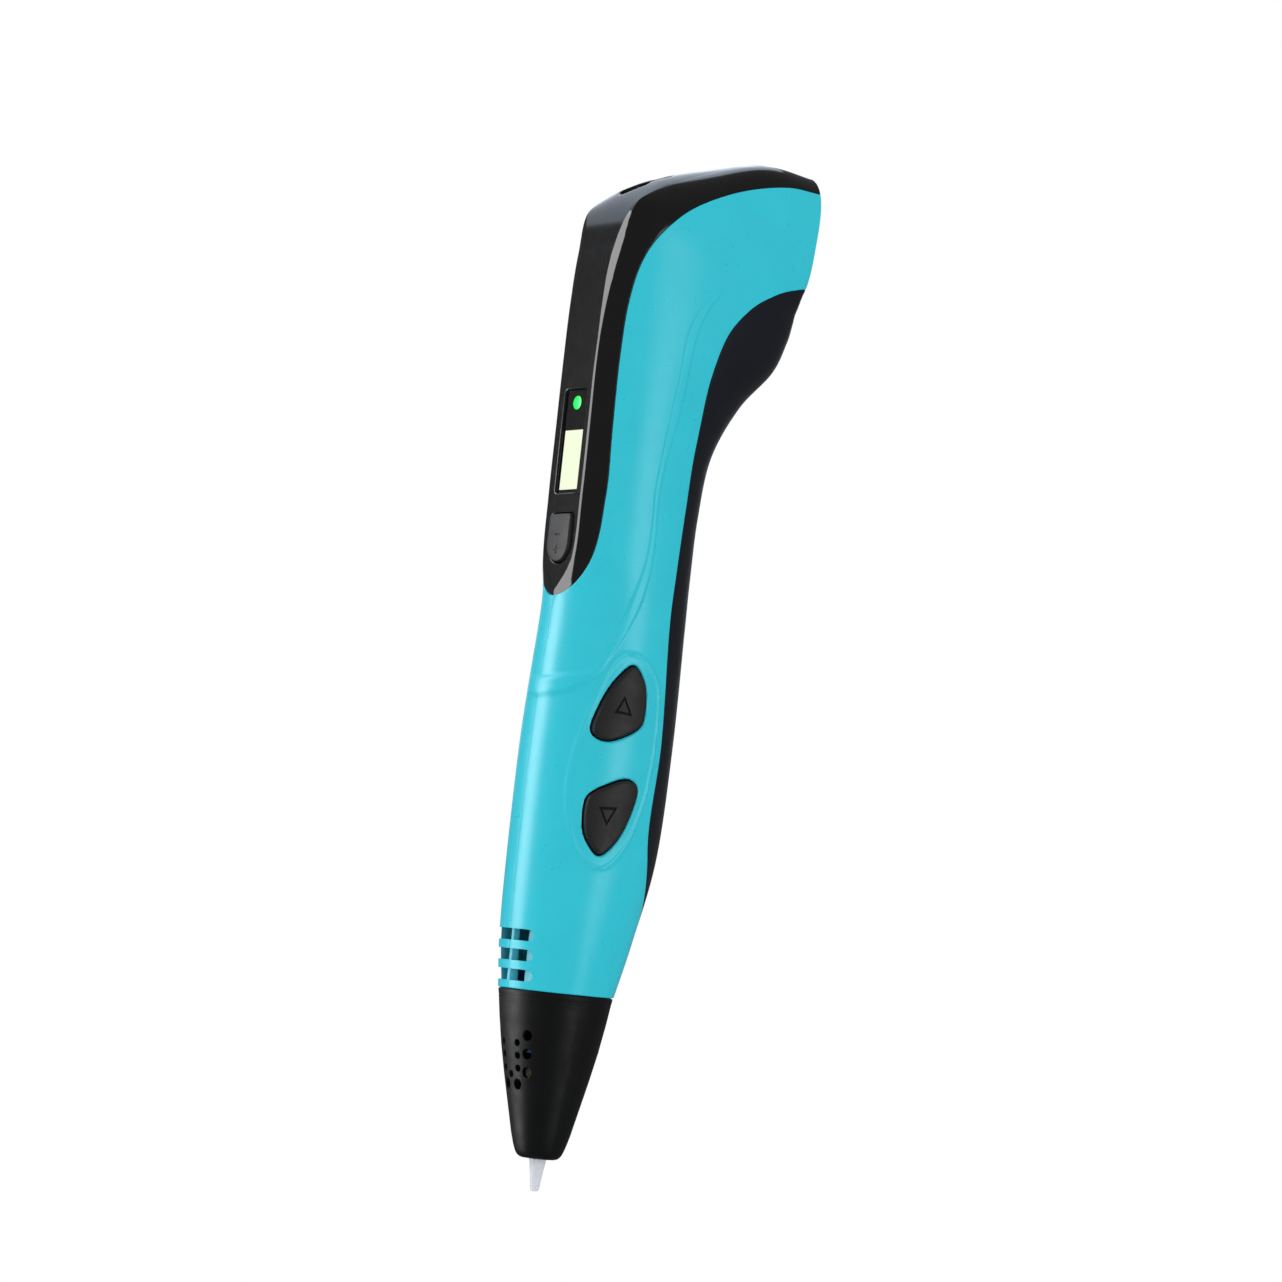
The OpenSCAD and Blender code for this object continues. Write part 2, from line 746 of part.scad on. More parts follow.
module rocker_pin() {
    color(steel) rocker_bore(0.5, 9.4);
}

module front_switches() {
    color(chip) for (s = [-1, 1]) translate([0, 0, rocker_z + s * 2.6]) {
        translate([-1.5, -5.6, -1.5]) cube([3, 0.8, 3]);
        along_y(-5.85, 0, 0) cylinder(r = 0.7, h = 0.3);
    }
}

module housing_screws() {
    color(dark_steel) for (s = screws) translate([-head_x, s[0], s[1]]) rotate([0, 90, 0]) {
        difference() {
            translate([0, 0, -1.2]) cylinder(r = head_r, h = 1.2);
            for (a = [0, 90]) rotate([0, 0, a]) translate([-0.9, -0.2, -1.4]) cube([1.8, 0.4, 0.8]);
        }
        cylinder(r = screw_r, h = head_x + screw_depth);
    }
}

right_shell();
left_shell();
face_panel();
back_cover();
nozzle_cone();
joining_ring();
nozzle_tip();
heater_barrel();
heater_sleeve();
thermistor();
insulation();
barrel_carrier();
heat_break();
cooling_collar();
guide_tube();
feed_guide();
inlet_bush();
power_jack();
jack_pin();
motor_bracket();
gearbox();
motor_can();
motor_cap();
rotor_shaft();
output_shaft();
drive_gear();
idler_bearing();
idler_axle();
idler_lever();
lever_pin();
lever_spring();
bracket_screws();
main_board();
main_chips();
heater_plug();
heater_leads();
board_link();
display_board();
display_chips();
screen_module();
screen();
display_window();
status_light();
forward_button();
reverse_button();
side_switches();
forward_plunger();
reverse_plunger();
rocker_button();
rocker_pin();
front_switches();
housing_screws();
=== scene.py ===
"""Looks of the 3D printing pen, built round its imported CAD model.

Blender 4.5, in metres.  The form tables below are in millimetres, in the CAD frame: +Z up the pen
from the nozzle, -Y the side with the display, +X the side with the two drive buttons.
"""

import json
import math

import bmesh
import bpy
import numpy as np
from mathutils import Matrix, Vector
from mathutils.bvhtree import BVHTree


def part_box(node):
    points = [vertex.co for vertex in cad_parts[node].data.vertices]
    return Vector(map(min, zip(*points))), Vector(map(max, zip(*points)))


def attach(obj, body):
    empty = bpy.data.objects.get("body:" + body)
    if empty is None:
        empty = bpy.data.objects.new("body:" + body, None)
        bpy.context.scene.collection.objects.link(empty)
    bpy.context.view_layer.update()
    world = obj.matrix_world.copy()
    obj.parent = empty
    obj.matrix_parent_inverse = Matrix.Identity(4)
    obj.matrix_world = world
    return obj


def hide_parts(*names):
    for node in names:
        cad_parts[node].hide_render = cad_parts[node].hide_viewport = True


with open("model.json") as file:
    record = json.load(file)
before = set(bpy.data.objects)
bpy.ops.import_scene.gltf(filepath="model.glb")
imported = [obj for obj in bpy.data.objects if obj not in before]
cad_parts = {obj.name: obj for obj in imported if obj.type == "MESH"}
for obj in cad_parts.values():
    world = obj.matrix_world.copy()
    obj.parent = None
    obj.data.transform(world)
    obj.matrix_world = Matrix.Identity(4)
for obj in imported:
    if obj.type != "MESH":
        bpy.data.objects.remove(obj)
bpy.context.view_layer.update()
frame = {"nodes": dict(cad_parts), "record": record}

MM = 0.001


def span(node):
    """Lowest and highest corner of a CAD node, in millimetres."""
    low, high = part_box(node)
    return np.array(low) / MM, np.array(high) / MM


def middle(node):
    low, high = span(node)
    return (low + high) / 2


def mount_place(name):
    """Place of one of the record's mounts, in millimetres."""
    found = [m for m in frame["record"]["mounts"] if m["name"] == name][0]
    return np.array(found["pos_m"]) / MM


# ---- form of the housing ----

# Rings that fan out from the front outline to the back outline.  Columns: front y, front z, back y,
# back z, half width, half of the front flat, widest place, roundness in front, roundness behind,
# panel edge angle, cover edge angle.
RINGS = np.array([
    [-10.2, 34.8, 10.2, 34.8, 10.2, 0.0, 0.50, 2.0, 2.0, 0, 180],
    [-11.0, 45.0, 12.8, 45.0, 11.4, 0.0, 0.50, 2.0, 2.0, 0, 180],
    [-11.2, 60.0, 16.0, 60.0, 12.3, 0.0, 0.50, 2.0, 2.0, 0, 119],
    [-11.0, 80.0, 17.0, 80.0, 12.4, 0.0, 0.50, 2.0, 2.0, 0, 116],
    [-9.8, 100.0, 17.0, 100.0, 12.0, 0.0, 0.50, 2.0, 2.0, 0, 110],
    [-9.4, 110.0, 17.1, 110.0, 11.8, 4.6, 0.48, 2.0, 2.0, 38, 113],
    [-9.4, 122.0, 17.4, 121.0, 11.8, 5.2, 0.48, 2.0, 2.0, 46, 115],
    [-9.4, 134.0, 18.6, 132.0, 11.8, 5.2, 0.46, 2.0, 2.2, 45.5, 113],
    [-9.4, 146.0, 23.8, 142.0, 11.8, 5.2, 0.44, 2.0, 2.3, 44, 105],
    [-9.0, 157.0, 30.4, 149.6, 11.9, 5.6, 0.44, 2.1, 2.4, 43.5, 100],
    [-8.0, 166.0, 32.8, 155.2, 11.8, 6.4, 0.45, 2.2, 2.5, 49, 106],
    [-5.9, 174.3, 33.3, 158.4, 11.6, 7.2, 0.46, 2.4, 2.7, 61, 115.5],
    [0.9, 179.2, 33.1, 160.0, 11.4, 6.0, 0.47, 2.6, 2.9, 59.5, 120],
    [12.2, 183.8, 32.8, 161.0, 11.0, 4.0, 0.48, 2.8, 3.2, 56, 123],
    [23.8, 187.3, 32.4, 161.6, 10.4, 2.4, 0.49, 2.8, 3.4, 57, 125],
    [34.4, 187.3, 32.0, 162.0, 9.2, 1.0, 0.50, 2.7, 3.6, 52, 124]])
LAST = len(RINGS) - 1
PADDED = np.vstack([2 * RINGS[0] - RINGS[1], RINGS, 2 * RINGS[LAST] - RINGS[LAST - 1]])
WALL = 1.8
# Places t where the panel and the cover begin, and where their edges take over the table's angles.
PANEL_START, PANEL_FULL = 4 + 1 / 3, 5
COVER_START, COVER_FULL = 1.0, 2
PANEL_TIP_ANGLE = 38
COVER_TIP_ANGLE = 61
BLUNT_ANGLE = 3
TIP_GAP = 0.02
NORMAL_T, NORMAL_ANGLE = 0.01, 0.25


def spline(a, b, c, d, f):
    """Point at share f of the way from b to c, on the smooth curve through four points."""
    return 0.5 * (2 * b + (c - a) * f + (2 * a - 5 * b + 4 * c - d) * f ** 2
                  + (3 * b - a - 3 * c + d) * f ** 3)


def ring_at(t):
    """The ring's values at places t, on a smooth curve through the rings."""
    t = np.clip(np.asarray(t, float), 0, LAST)
    i = np.minimum(t.astype(int), LAST - 1)
    return spline(PADDED[i], PADDED[i + 1], PADDED[i + 2], PADDED[i + 3], (t - i)[..., None])


def skin(t, angle, depth=0.0):
    """Points of the housing at places t and angles (0 in front, 180 behind), inset by depth."""
    t, angle = np.broadcast_arrays(np.asarray(t, float), np.asarray(angle, float))
    angle = (angle + 180) % 360 - 180
    r = np.moveaxis(ring_at(t), -1, 0)
    front_y, front_z, back_y, back_z, half, flat, widest, round_front, round_back, _, _ = r
    full = np.hypot(back_y - front_y, back_z - front_z)
    along_y, along_z = (back_y - front_y) / full, (back_z - front_z) / full
    half = half - depth
    flat = np.maximum(flat - depth / 2, 0)
    length = full - 2 * depth
    front = widest * length
    k = (1 - (flat / half) ** round_front) ** (1 / round_front)
    edge = np.degrees(np.arccos(np.minimum(1, k ** (round_front / 2))))
    b = np.abs(angle)
    cos_b = np.cos(np.radians(b))
    sin_b = np.maximum(np.sin(np.radians(b)), 0)
    ahead = front * (1 - np.maximum(cos_b, 0) ** (2 / round_front) / k)
    behind = front + (length - front) * np.maximum(-cos_b, 0) ** (2 / round_back)
    away = np.where(b < edge, 0, np.where(b <= 90, ahead, behind))
    x = np.where(b < edge, flat * b / np.maximum(edge, 1e-9),
                 half * sin_b ** (2 / np.where(b <= 90, round_front, round_back)))
    pull = depth * np.maximum(0, t - LAST + 1)
    return np.stack([np.where(angle < 0, -x, x), front_y + along_y * (depth + away) - pull,
                     front_z + along_z * (depth + away)], -1)


def skin_normal(t, angle):
    """Outward normals of the skin."""
    t, angle = np.broadcast_arrays(np.asarray(t, float), np.asarray(angle, float))
    t0, t1 = np.clip(t - NORMAL_T, 0, LAST), np.clip(t + NORMAL_T, 0, LAST)
    round_way = skin(t, angle + NORMAL_ANGLE) - skin(t, angle - NORMAL_ANGLE)
    up_way = skin(t1, angle) - skin(t0, angle)
    n = np.cross(round_way, up_way)
    return n / np.maximum(np.linalg.norm(n, axis=-1, keepdims=True), 1e-12)


def panel_angle(t):
    """Angle of the seam between the face panel and the side shells."""
    tip = np.sqrt(np.clip((t - PANEL_START) / (PANEL_FULL - PANEL_START), 0, 1))
    near_tip = BLUNT_ANGLE + (PANEL_TIP_ANGLE - BLUNT_ANGLE) * tip
    return np.where(t < PANEL_START, 0, np.where(t < PANEL_FULL, near_tip, ring_at(t)[..., 9]))


def cover_angle(t):
    """Angle of the seam between the back cover and the side shells."""
    tip = np.sqrt(np.clip((t - COVER_START) / (COVER_FULL - COVER_START), 0, 1))
    near_tip = 180 - BLUNT_ANGLE - (COVER_TIP_ANGLE - BLUNT_ANGLE) * tip
    return np.where(t < COVER_START, 180, np.where(t < COVER_FULL, near_tip, ring_at(t)[..., 10]))


# ---- meshes ----

def in_scene(name, data):
    obj = bpy.data.objects.new(name, data)
    bpy.context.scene.collection.objects.link(obj)
    return obj


# Edges sharper than these angles show as edges.
SMOOTH_ANGLE = 35
PANEL_SMOOTH_ANGLE = 24
TURNED_SMOOTH_ANGLE = 30
OPEN_STEPS = 8
CLOSED_STEP = 0.02
QUARTER = np.radians([0, 22.5, 45, 67.5, 90])


def new_object(name, points, faces, smooth_angle=SMOOTH_ANGLE):
    """Object with a mesh from points in millimetres."""
    mesh = bpy.data.meshes.new(name)
    mesh.from_pydata([tuple(p) for p in np.asarray(points) * MM], [], faces)
    bm = bmesh.new()
    bm.from_mesh(mesh)
    bmesh.ops.recalc_face_normals(bm, faces=bm.faces)
    bm.to_mesh(mesh)
    bm.free()
    mesh.shade_smooth()
    mesh.set_sharp_from_angle(angle=math.radians(smooth_angle))
    return in_scene(name, mesh)


def painted(obj, material):
    obj.data.materials.append(material)
    return obj


def around(count):
    """Angles of a full turn, in even steps."""
    return np.linspace(0, 2 * math.pi, count, endpoint=False)


def circle(u, v, radius, count):
    """Points of a circle round (u, v)."""
    return [(u + radius * math.cos(a), v + radius * math.sin(a)) for a in around(count)]


def ring_faces(rows, columns, count, first=0):
    """Quads from each of the first count closed loops to the next; after the last comes the first."""
    return [(first + i * columns + j, first + i * columns + (j + 1) % columns,
             first + (i + 1) % rows * columns + (j + 1) % columns, first + (i + 1) % rows * columns + j)
            for i in range(count) for j in range(columns)]


def lofted(name, loops, smooth_angle=SMOOTH_ANGLE):
    """Solid through closed loops that follow one another, with a cap on the first and the last."""
    loops = np.asarray(loops)
    rows, columns = loops.shape[:2]
    faces = ring_faces(rows, columns, rows - 1)
    faces.append(tuple(range(columns - 1, -1, -1)))
    faces.append(tuple(range((rows - 1) * columns, rows * columns)))
    return new_object(name, loops.reshape(-1, 3), faces, smooth_angle)


def turned(name, profile, steps):
    """Body of revolution about Z from a closed profile of radius and height."""
    points = [[r * math.sin(a), -r * math.cos(a), z] for a in around(steps) for r, z in profile]
    faces = ring_faces(steps, len(profile), steps)
    return new_object(name, points, faces, TURNED_SMOOTH_ANGLE)


def cut(obj, cutters, material=None, smooth_angle=SMOOTH_ANGLE):
    """Takes the cutters out of obj; the cut faces get their own material."""
    if material:
        obj.data.materials.append(material)
    for cutter in cutters:
        if material:
            cutter.data.materials.append(material)
        modifier = obj.modifiers.new("cut", "BOOLEAN")
        modifier.operation = "DIFFERENCE"
        modifier.solver = "EXACT"
        modifier.object = cutter
        if material:
            modifier.material_mode = "TRANSFER"
    bpy.context.view_layer.update()
    finished = obj.evaluated_get(bpy.context.evaluated_depsgraph_get())
    mesh = bpy.data.meshes.new_from_object(finished)
    obj.modifiers.clear()
    old = obj.data
    obj.data = mesh
    bpy.data.meshes.remove(old)
    for cutter in cutters:
        bpy.data.objects.remove(cutter)
    mesh.name = obj.name
    mesh.set_sharp_from_angle(angle=math.radians(smooth_angle))


def closed_curve(points, count=96):
    """Smooth closed curve through points, in evenly spaced steps."""
    p = np.asarray(points, float)
    n = len(p)
    u = np.arange(0, n, CLOSED_STEP)
    i = u.astype(int)
    fine = spline(p[(i - 1) % n], p[i], p[(i + 1) % n], p[(i + 2) % n], (u - i)[:, None])
    steps = np.linalg.norm(np.roll(fine, -1, 0) - fine, axis=1)
    s = np.concatenate([[0], np.cumsum(steps)])
    fine = np.vstack([fine, fine[:1]])
    at = np.linspace(0, s[-1], count, endpoint=False)
    return np.stack([np.interp(at, s, fine[:, k]) for k in range(2)], -1)


def open_curve(points):
    """Smooth open curve through points, with OPEN_STEPS steps from each to the next."""
    p = np.asarray(points, float)
    p = np.vstack([2 * p[0] - p[1], p, 2 * p[-1] - p[-2]])
    out = []
    for i in range(1, len(p) - 2):
        for f in np.arange(OPEN_STEPS) / OPEN_STEPS:
            out.append(spline(*p[i - 1:i + 3], f))
    return np.array(out + [p[-2]])


def grown(outline, by):
    """A closed outline moved outward by a small distance."""
    along = np.roll(outline, -1, 0) - np.roll(outline, 1, 0)
    along /= np.linalg.norm(along, axis=1, keepdims=True)
    out = np.stack([along[:, 1], -along[:, 0]], -1)
    nxt = np.roll(outline, -1, 0)
    area = np.sum(outline[:, 0] * nxt[:, 1] - nxt[:, 0] * outline[:, 1])
    return outline + out * by * (1 if area > 0 else -1)


def distance_to(line, y, z):
    """Distance from points to a closed line of short pieces, and whether they are inside it."""
    best = np.full(y.shape, 1e9)
    inside = np.zeros(y.shape, bool)
    for (ay, az), (by, bz) in zip(line, np.roll(line, -1, 0)):
        dy, dz = by - ay, bz - az
        f = np.clip(((y - ay) * dy + (z - az) * dz) / (dy * dy + dz * dz + 1e-12), 0, 1)
        best = np.minimum(best, np.hypot(y - ay - f * dy, z - az - f * dz))
        if az != bz:
            crosses = ((az > z) != (bz > z)) & (y < (by - ay) * (z - az) / (bz - az) + ay)
            inside ^= crosses
    return best, inside


def smooth_step(x):
    x = np.clip(x, 0, 1)
    return x * x * (3 - 2 * x)


def round_off(distance, radius):
    """How far a surface falls at a distance from an edge that is rounded to radius."""
    gap = np.clip(radius - distance, 0, radius)
    return radius - np.sqrt(np.maximum(radius ** 2 - gap ** 2, 0))


# Steps that the skin is measured in along the pen and round it, and how near rows may come.
PLACES_MEASURED, ANGLES_MEASURED = 6000, 721
NEAR_ROW = 0.004


def places_along(angle, start, end, step, extra):
    """Places t from start to end whose spacing on the skin at this angle is step(z) mm, and the
    extra places between them."""
    fine = np.linspace(start, end, PLACES_MEASURED)
    p = skin(fine, angle)
    size = np.linalg.norm(np.diff(p, axis=0), axis=1)
    steps = size / np.array([step(z) for z in (p[1:, 2] + p[:-1, 2]) / 2])
    total = np.concatenate([[0], np.cumsum(steps)])
    count = int(math.ceil(total[-1]))
    base = np.interp(np.linspace(0, total[-1], count + 1), total, fine)
    extra = np.array(sorted(e for e in extra if start <= e <= end))
    near = np.min(np.abs(base[:, None] - extra[None, :]), axis=1) < NEAR_ROW
    base = base[~near | (base == base[0]) | (base == base[-1])]
    both = np.sort(np.concatenate([base, extra]))
    return both[np.concatenate([[True], np.diff(both) > 1e-7])]


TIP_ROWS = [(i / 14) ** 2 for i in range(15)]
PANEL_TIP_ROWS = [PANEL_START + (PANEL_FULL - PANEL_START) * f for f in TIP_ROWS]
COVER_TIP_ROWS = [COVER_START + (COVER_FULL - COVER_START) * f for f in TIP_ROWS]
# Round edges at the rear wall and at the lower rim; the spacing is that of the rings next to them.
REAR_RADIUS = 0.35
REAR_SPACING = 10.6
REAR_ROWS = [LAST - REAR_RADIUS * (1 - math.cos(a)) / REAR_SPACING for a in QUARTER]
RIM_RADIUS = 0.25
RIM_SPACING = 10.2
RIM_ROWS = [RIM_RADIUS * (1 - math.cos(a)) / RIM_SPACING for a in QUARTER]
INNER_COLUMNS = 14


def patch(t, first, last, columns, radius, gap, shape):
    """Closed loops of a housing part between two edge angles.

    columns(row, length) gives the places of the columns along a row, from 0 to 1; radius and gap
    are those of its edges, each as a pair of arrays over the rows; shape changes the outer points."""
    dense = first[:, None] + (last - first)[:, None] * np.linspace(0, 1, ANGLES_MEASURED)[None, :]
    p = skin(t[:, None], dense)
    s = np.concatenate([np.zeros((len(t), 1)),
                        np.cumsum(np.linalg.norm(np.diff(p, axis=1), axis=2), axis=1)], axis=1)
    angles = []
    for i in range(len(t)):
        length = s[i, -1]
        r0, r1 = (min(r[i], length * 0.2) for r in radius)
        g0, g1 = (min(g[i], length * 0.05) for g in gap)
        body = g0 + r0 + (length - g0 - g1 - r0 - r1) * columns(i, length)
        at = np.concatenate([[g0], body, [length - g1]])
        angles.append(np.interp(at, s[i], dense[i]))
    angles = np.array(angles)
    rows = t[:, None]
    normal = skin_normal(rows, angles)
    outer = shape(skin(rows, angles), normal, rows + 0 * angles)
    loops = []
    inner_at = np.linspace(0, 1, INNER_COLUMNS)
    inner = skin(rows, angles[:, :1] + (angles[:, -1:] - angles[:, :1]) * inner_at[None, :], WALL)
    for i in range(len(t)):
        near, far = outer[i, 1], outer[i, -2]
        out_near, out_far = outer[i, 0] - near, outer[i, -1] - far
        n0, n1 = normal[i, 1], normal[i, -2]
        r0, r1 = np.linalg.norm(out_near), np.linalg.norm(out_far)
        start = [near + out_near * math.sin(a) - n0 * r0 * (1 - math.cos(a)) for a in QUARTER[:0:-1]]
        end = [far + out_far * math.sin(a) - n1 * r1 * (1 - math.cos(a)) for a in QUARTER[1:]]
        loops.append(np.vstack([start, outer[i, 1:-1], end, inner[i, ::-1]]))
    return np.array(loops)


def rim_fall(z):
    """How far the lower rim of the housing is rounded in at height z."""
    return round_off(z - RINGS[0][1], RIM_RADIUS)


def rear_fall(t):
    """How far the edge at the rear wall is rounded in at places t."""
    return round_off((LAST - t) * REAR_SPACING, REAR_RADIUS)


def with_side_rear(loops):
    """Adds the flat rear wall of a side shell, row by row towards the middle plane."""
    rows = [loops[-1] * [s, 1, 1] for s in (0.9, 0.7, 0.5, 0.3, 0.1, 0.004)]
    return np.vstack([loops, rows])


def with_middle_rear(loops, edge):
    """Adds the flat rear wall of the panel or cover, row by row to the height of its edge angle."""
    last = loops[-1]
    outer, inner = slice(0, len(last) - INNER_COLUMNS), slice(len(last) - INNER_COLUMNS, None)
    rows = []
    for s in (0.8, 0.6, 0.4, 0.2, 0.05):
        row = last.copy()
        for part, depth in ((outer, 0), (inner, WALL)):
            corner = skin(LAST, edge, depth)[1:]
            row[part, 1:] = corner + (last[part, 1:] - corner) * s
        rows.append(row)
    return np.vstack([loops, rows])


# ---- drive buttons ----

# Outline of the upper button as y and z from its middle; the lower one is the same, turned half round.
KEY_SCALE = (0.96, 0.95)
KEY_OUTLINE = [(1.4, 7.0), (3.3, 5.2), (4.4, 2.4), (4.5, -2.2), (3.4, -4.2), (0.1, -6.2),
               (-2.4, -7.0), (-4.3, -6.4), (-4.9, -5.0), (-4.3, -2.2), (-2.8, 1.9), (-0.9, 5.0)]
KEY_GAP = 0.32
KEY_RISE = 0.5
KEY_ROUND = 0.5
# Engraved triangle: width of its line, distance from its middle to a side, the two sizes of its
# corners that the line runs between, and its depth.
MARK_LINE, MARK_TO_SIDE = 0.46, 1.1
MARK_OUTER = 1.08
MARK_INNER = MARK_OUTER - MARK_LINE / MARK_TO_SIDE
MARK_DEPTH = 0.22
MARK_CROWN = 0.09
MARK_CLEAR = 1.5
MARK_STEPS = 60
MARK = [(0.0, 1.9), (1.55, -1.25), (-1.45, -1.05)]

KEYS = {"forward": {"node": "forward_button", "turn": 1, "mark": (-0.2, -0.7)},
        "reverse": {"node": "reverse_button", "turn": -1, "mark": (-1.0, 0.45)}}
for key in KEYS.values():
    centre = middle(key["node"])
    turned_outline = np.array(KEY_OUTLINE) * KEY_SCALE * key["turn"]
    key["outline"] = closed_curve(turned_outline + centre[1:])
    key["mark_at"] = (centre[1] + key["mark"][0], centre[2] + key["mark"][1])

# ---- raised lines of the grip, as y and z seen from the side ----

# The band that runs down from the head behind the display and turns into the lip in front.
BAND_FRONT = open_curve([(12.5, 162.8), (9.5, 160.0), (6.6, 156.5), (4.8, 151.5), (4.2, 145.0),
                         (3.4, 139.5), (2.4, 132.0), (1.6, 124.0), (1.7, 117.5), (1.3, 111.5),
                         (0.1, 106.5), (-1.8, 100.5), (-4.0, 96.0), (-4.9, 93.6), (-4.6, 92.0),
                         (-6.3, 90.8), (-8.4, 90.2), (-9.6, 89.7), (-11.5, 89.1)])
BAND_BACK = open_curve([(14.5, 162.5), (11.9, 161.0), (9.4, 158.2), (7.5, 154.3), (6.3, 149.0),
                        (5.5, 141.5), (4.3, 134.5), (2.9, 127.5), (2.5, 121.0), (2.7, 116.0),
                        (2.4, 110.0), (1.3, 104.5), (-0.3, 100.0), (-1.9, 96.5), (-3.3, 93.7),
                        (-4.7, 91.3), (-6.2, 89.3), (-7.9, 87.8), (-9.4, 86.8), (-11.5, 85.8)])
BAND = np.vstack([BAND_FRONT, BAND_BACK[::-1]])
OVAL = closed_curve([(-0.4, 94.7), (3.5, 93.6), (6.6, 89.5), (7.2, 82.0), (6.3, 71.5), (3.9, 63.7),
                     (1.4, 59.3), (-1.3, 57.0), (-4.1, 58.0), (-6.2, 61.0), (-7.6, 67.5),
                     (-7.6, 74.0), (-6.6, 80.5), (-5.0, 86.5), (-3.0, 92.2)], 120)
BAND_HEIGHT = 0.24
LIP_HEIGHT = 0.42
LIP_TOP, LIP_BLEND = 93.5, 3.0
# On the left half the lip fades out behind this place.
LIP_FADE, LIP_FADE_WIDTH = 9.3, 1.4
# Width of the band's sloped edge: along the band, more at the lip, and more where the two meet.
EDGE_SOFT, LIP_SOFT, MEET_SOFT = 0.42, 0.6, 1.8
MEET_Y, MEET_Z, MEET_REACH, MEET_SQUEEZE = -5.6, 93.6, 1.6, 0.8
BAND_END, BAND_END_BLEND = 156.0, 7.0
OVAL_HEIGHT = 0.25
OVAL_WIDTH = 0.34
KEY_HOLE_ROUND = 0.28


def band_relief(y, z, right):
    """Height of the band and the lip over the skin."""
    distance, inside = distance_to(BAND, y, z)
    signed = np.where(inside, distance, -distance)
    to_meet = np.hypot(y - MEET_Y, (z - MEET_Z) * MEET_SQUEEZE)
    lip = smooth_step((LIP_TOP - z) / LIP_BLEND)
    soft = EDGE_SOFT + LIP_SOFT * lip + MEET_SOFT * np.exp(-(to_meet / MEET_REACH) ** 2)
    height = BAND_HEIGHT + (LIP_HEIGHT - BAND_HEIGHT) * lip
    height = height * (1 - smooth_step((z - BAND_END) / BAND_END_BLEND))
    if not right:
        fade = smooth_step((-y - LIP_FADE) / LIP_FADE_WIDTH)
        height = height * np.where(z < LIP_TOP + 2, fade, 1)
    return height * smooth_step((signed + soft / 2) / soft)


def oval_relief(y, z):
    distance, _ = distance_to(OVAL, y, z)
    return OVAL_HEIGHT * np.exp(-(distance / OVAL_WIDTH) ** 2)


def hole_relief(y, z):
    """Rounded edges of the button holes, below the skin."""
    fall = np.zeros(y.shape)
    for key in KEYS.values():
        edge = grown(key["outline"], KEY_GAP)
        distance, inside = distance_to(edge, y, z)
        fall += np.where(inside, KEY_HOLE_ROUND, round_off(distance, KEY_HOLE_ROUND))
    return -fall


# ---- cooling slots ----

# How far the slots are cut through in the right and the left half.
SLOT_THROUGH = 2.7
SLOT_FAR = 8.2
SLOT_HALF_W = 4.4
SLOT_FLOOR = -8.7
SLOT_H = 2.0
SLOT_PITCH = 3.5
SLOT_FIRST = 2.4
SLOT_RIB = 0.35
SLOT_RIB_FRONT = RINGS[0][0] - 0.1
SLOT_OVERLAP = 0.2
OUTSIDE_Y, INSIDE_Y = -14, -2
SLOT_HEIGHTS = [RINGS[0][1] + SLOT_FIRST + i * SLOT_PITCH for i in range(3)]


def prism(name, outline, start, end, to_point):
    """Solid between two copies of an outline; to_point places (u, v, depth) in space."""
    loops = [[to_point(u, v, d) for u, v in outline] for d in (start, end)]
    return lofted(name, loops)


def box_outline(x0, x1, z0, z1):
    return [(x0, z0), (x1, z0), (x1, z1), (x0, z1)]


def along_y(u, v, d):
    return (u, d, v)


def along_x(u, v, d):
    return (d, u, v)


def slot_cutters(side):
    """Cutters of the three slots in one half: cut through, with a shallow recess at the outer end
    of those on the right, and a thin rib at the middle that lies further back."""
    cutters = []
    half = SLOT_H / 2
    turn = np.linspace(-math.pi / 2, math.pi / 2, 13)
    for z in SLOT_HEIGHTS:
        end = [(SLOT_HALF_W + half * math.cos(a), z + half * math.sin(a)) for a in turn]
        step_x = SLOT_THROUGH if side > 0 else -SLOT_FAR
        through = box_outline(side * SLOT_RIB, step_x, z - half, z + half)
        cutters.append(prism("slot", through, OUTSIDE_Y, INSIDE_Y, along_y))
        if side > 0:
            start_x = step_x - SLOT_OVERLAP
            shallow = [(start_x, z - half)] + end + [(start_x, z + half)]
            cutters.append(prism("slot", shallow, OUTSIDE_Y, SLOT_FLOOR, along_y))
        rib = box_outline(-side * SLOT_OVERLAP, side * (SLOT_RIB + 0.01), z - half, z + half)
        cutters.append(prism("slot", rib, OUTSIDE_Y, SLOT_RIB_FRONT, along_y))
    return cutters


# ---- side shells ----

def skin_tree(side, start, end):
    """Undisturbed side of the housing, to set pieces on."""
    t = np.linspace(start, end, int(60 * (end - start)))
    angles = np.linspace(30, 150, 120)
    p = skin(t[:, None], angles[None, :]) * [side, 1, 1]
    n, m = p.shape[:2]
    faces = [(i * m + j, i * m + j + 1, (i + 1) * m + j + 1, (i + 1) * m + j)
             for i in range(n - 1) for j in range(m - 1)]
    return BVHTree.FromPolygons([tuple(v) for v in p.reshape(-1, 3)], faces)


TREE = skin_tree(1, 1.6, 4.2)
TREE_LEFT = skin_tree(-1, 0.5, 14)


def on_skin(y, z):
    hit = TREE.ray_cast(Vector((30, y, z)), Vector((-1, 0, 0)))[0]
    return hit.x


SHELL_COLUMNS = 118
SEAM, CLOSED_SEAM = 0.03, 0.01
EDGE_ROUND, CLOSED_ROUND = 0.14, 0.06
ROW_STEP, FINE_STEP = 0.42, 0.27
FINE_FROM, FINE_TO = 55, 97


def side_step(z):
    return ROW_STEP


def key_side_step(z):
    return FINE_STEP if FINE_FROM < z < FINE_TO else ROW_STEP


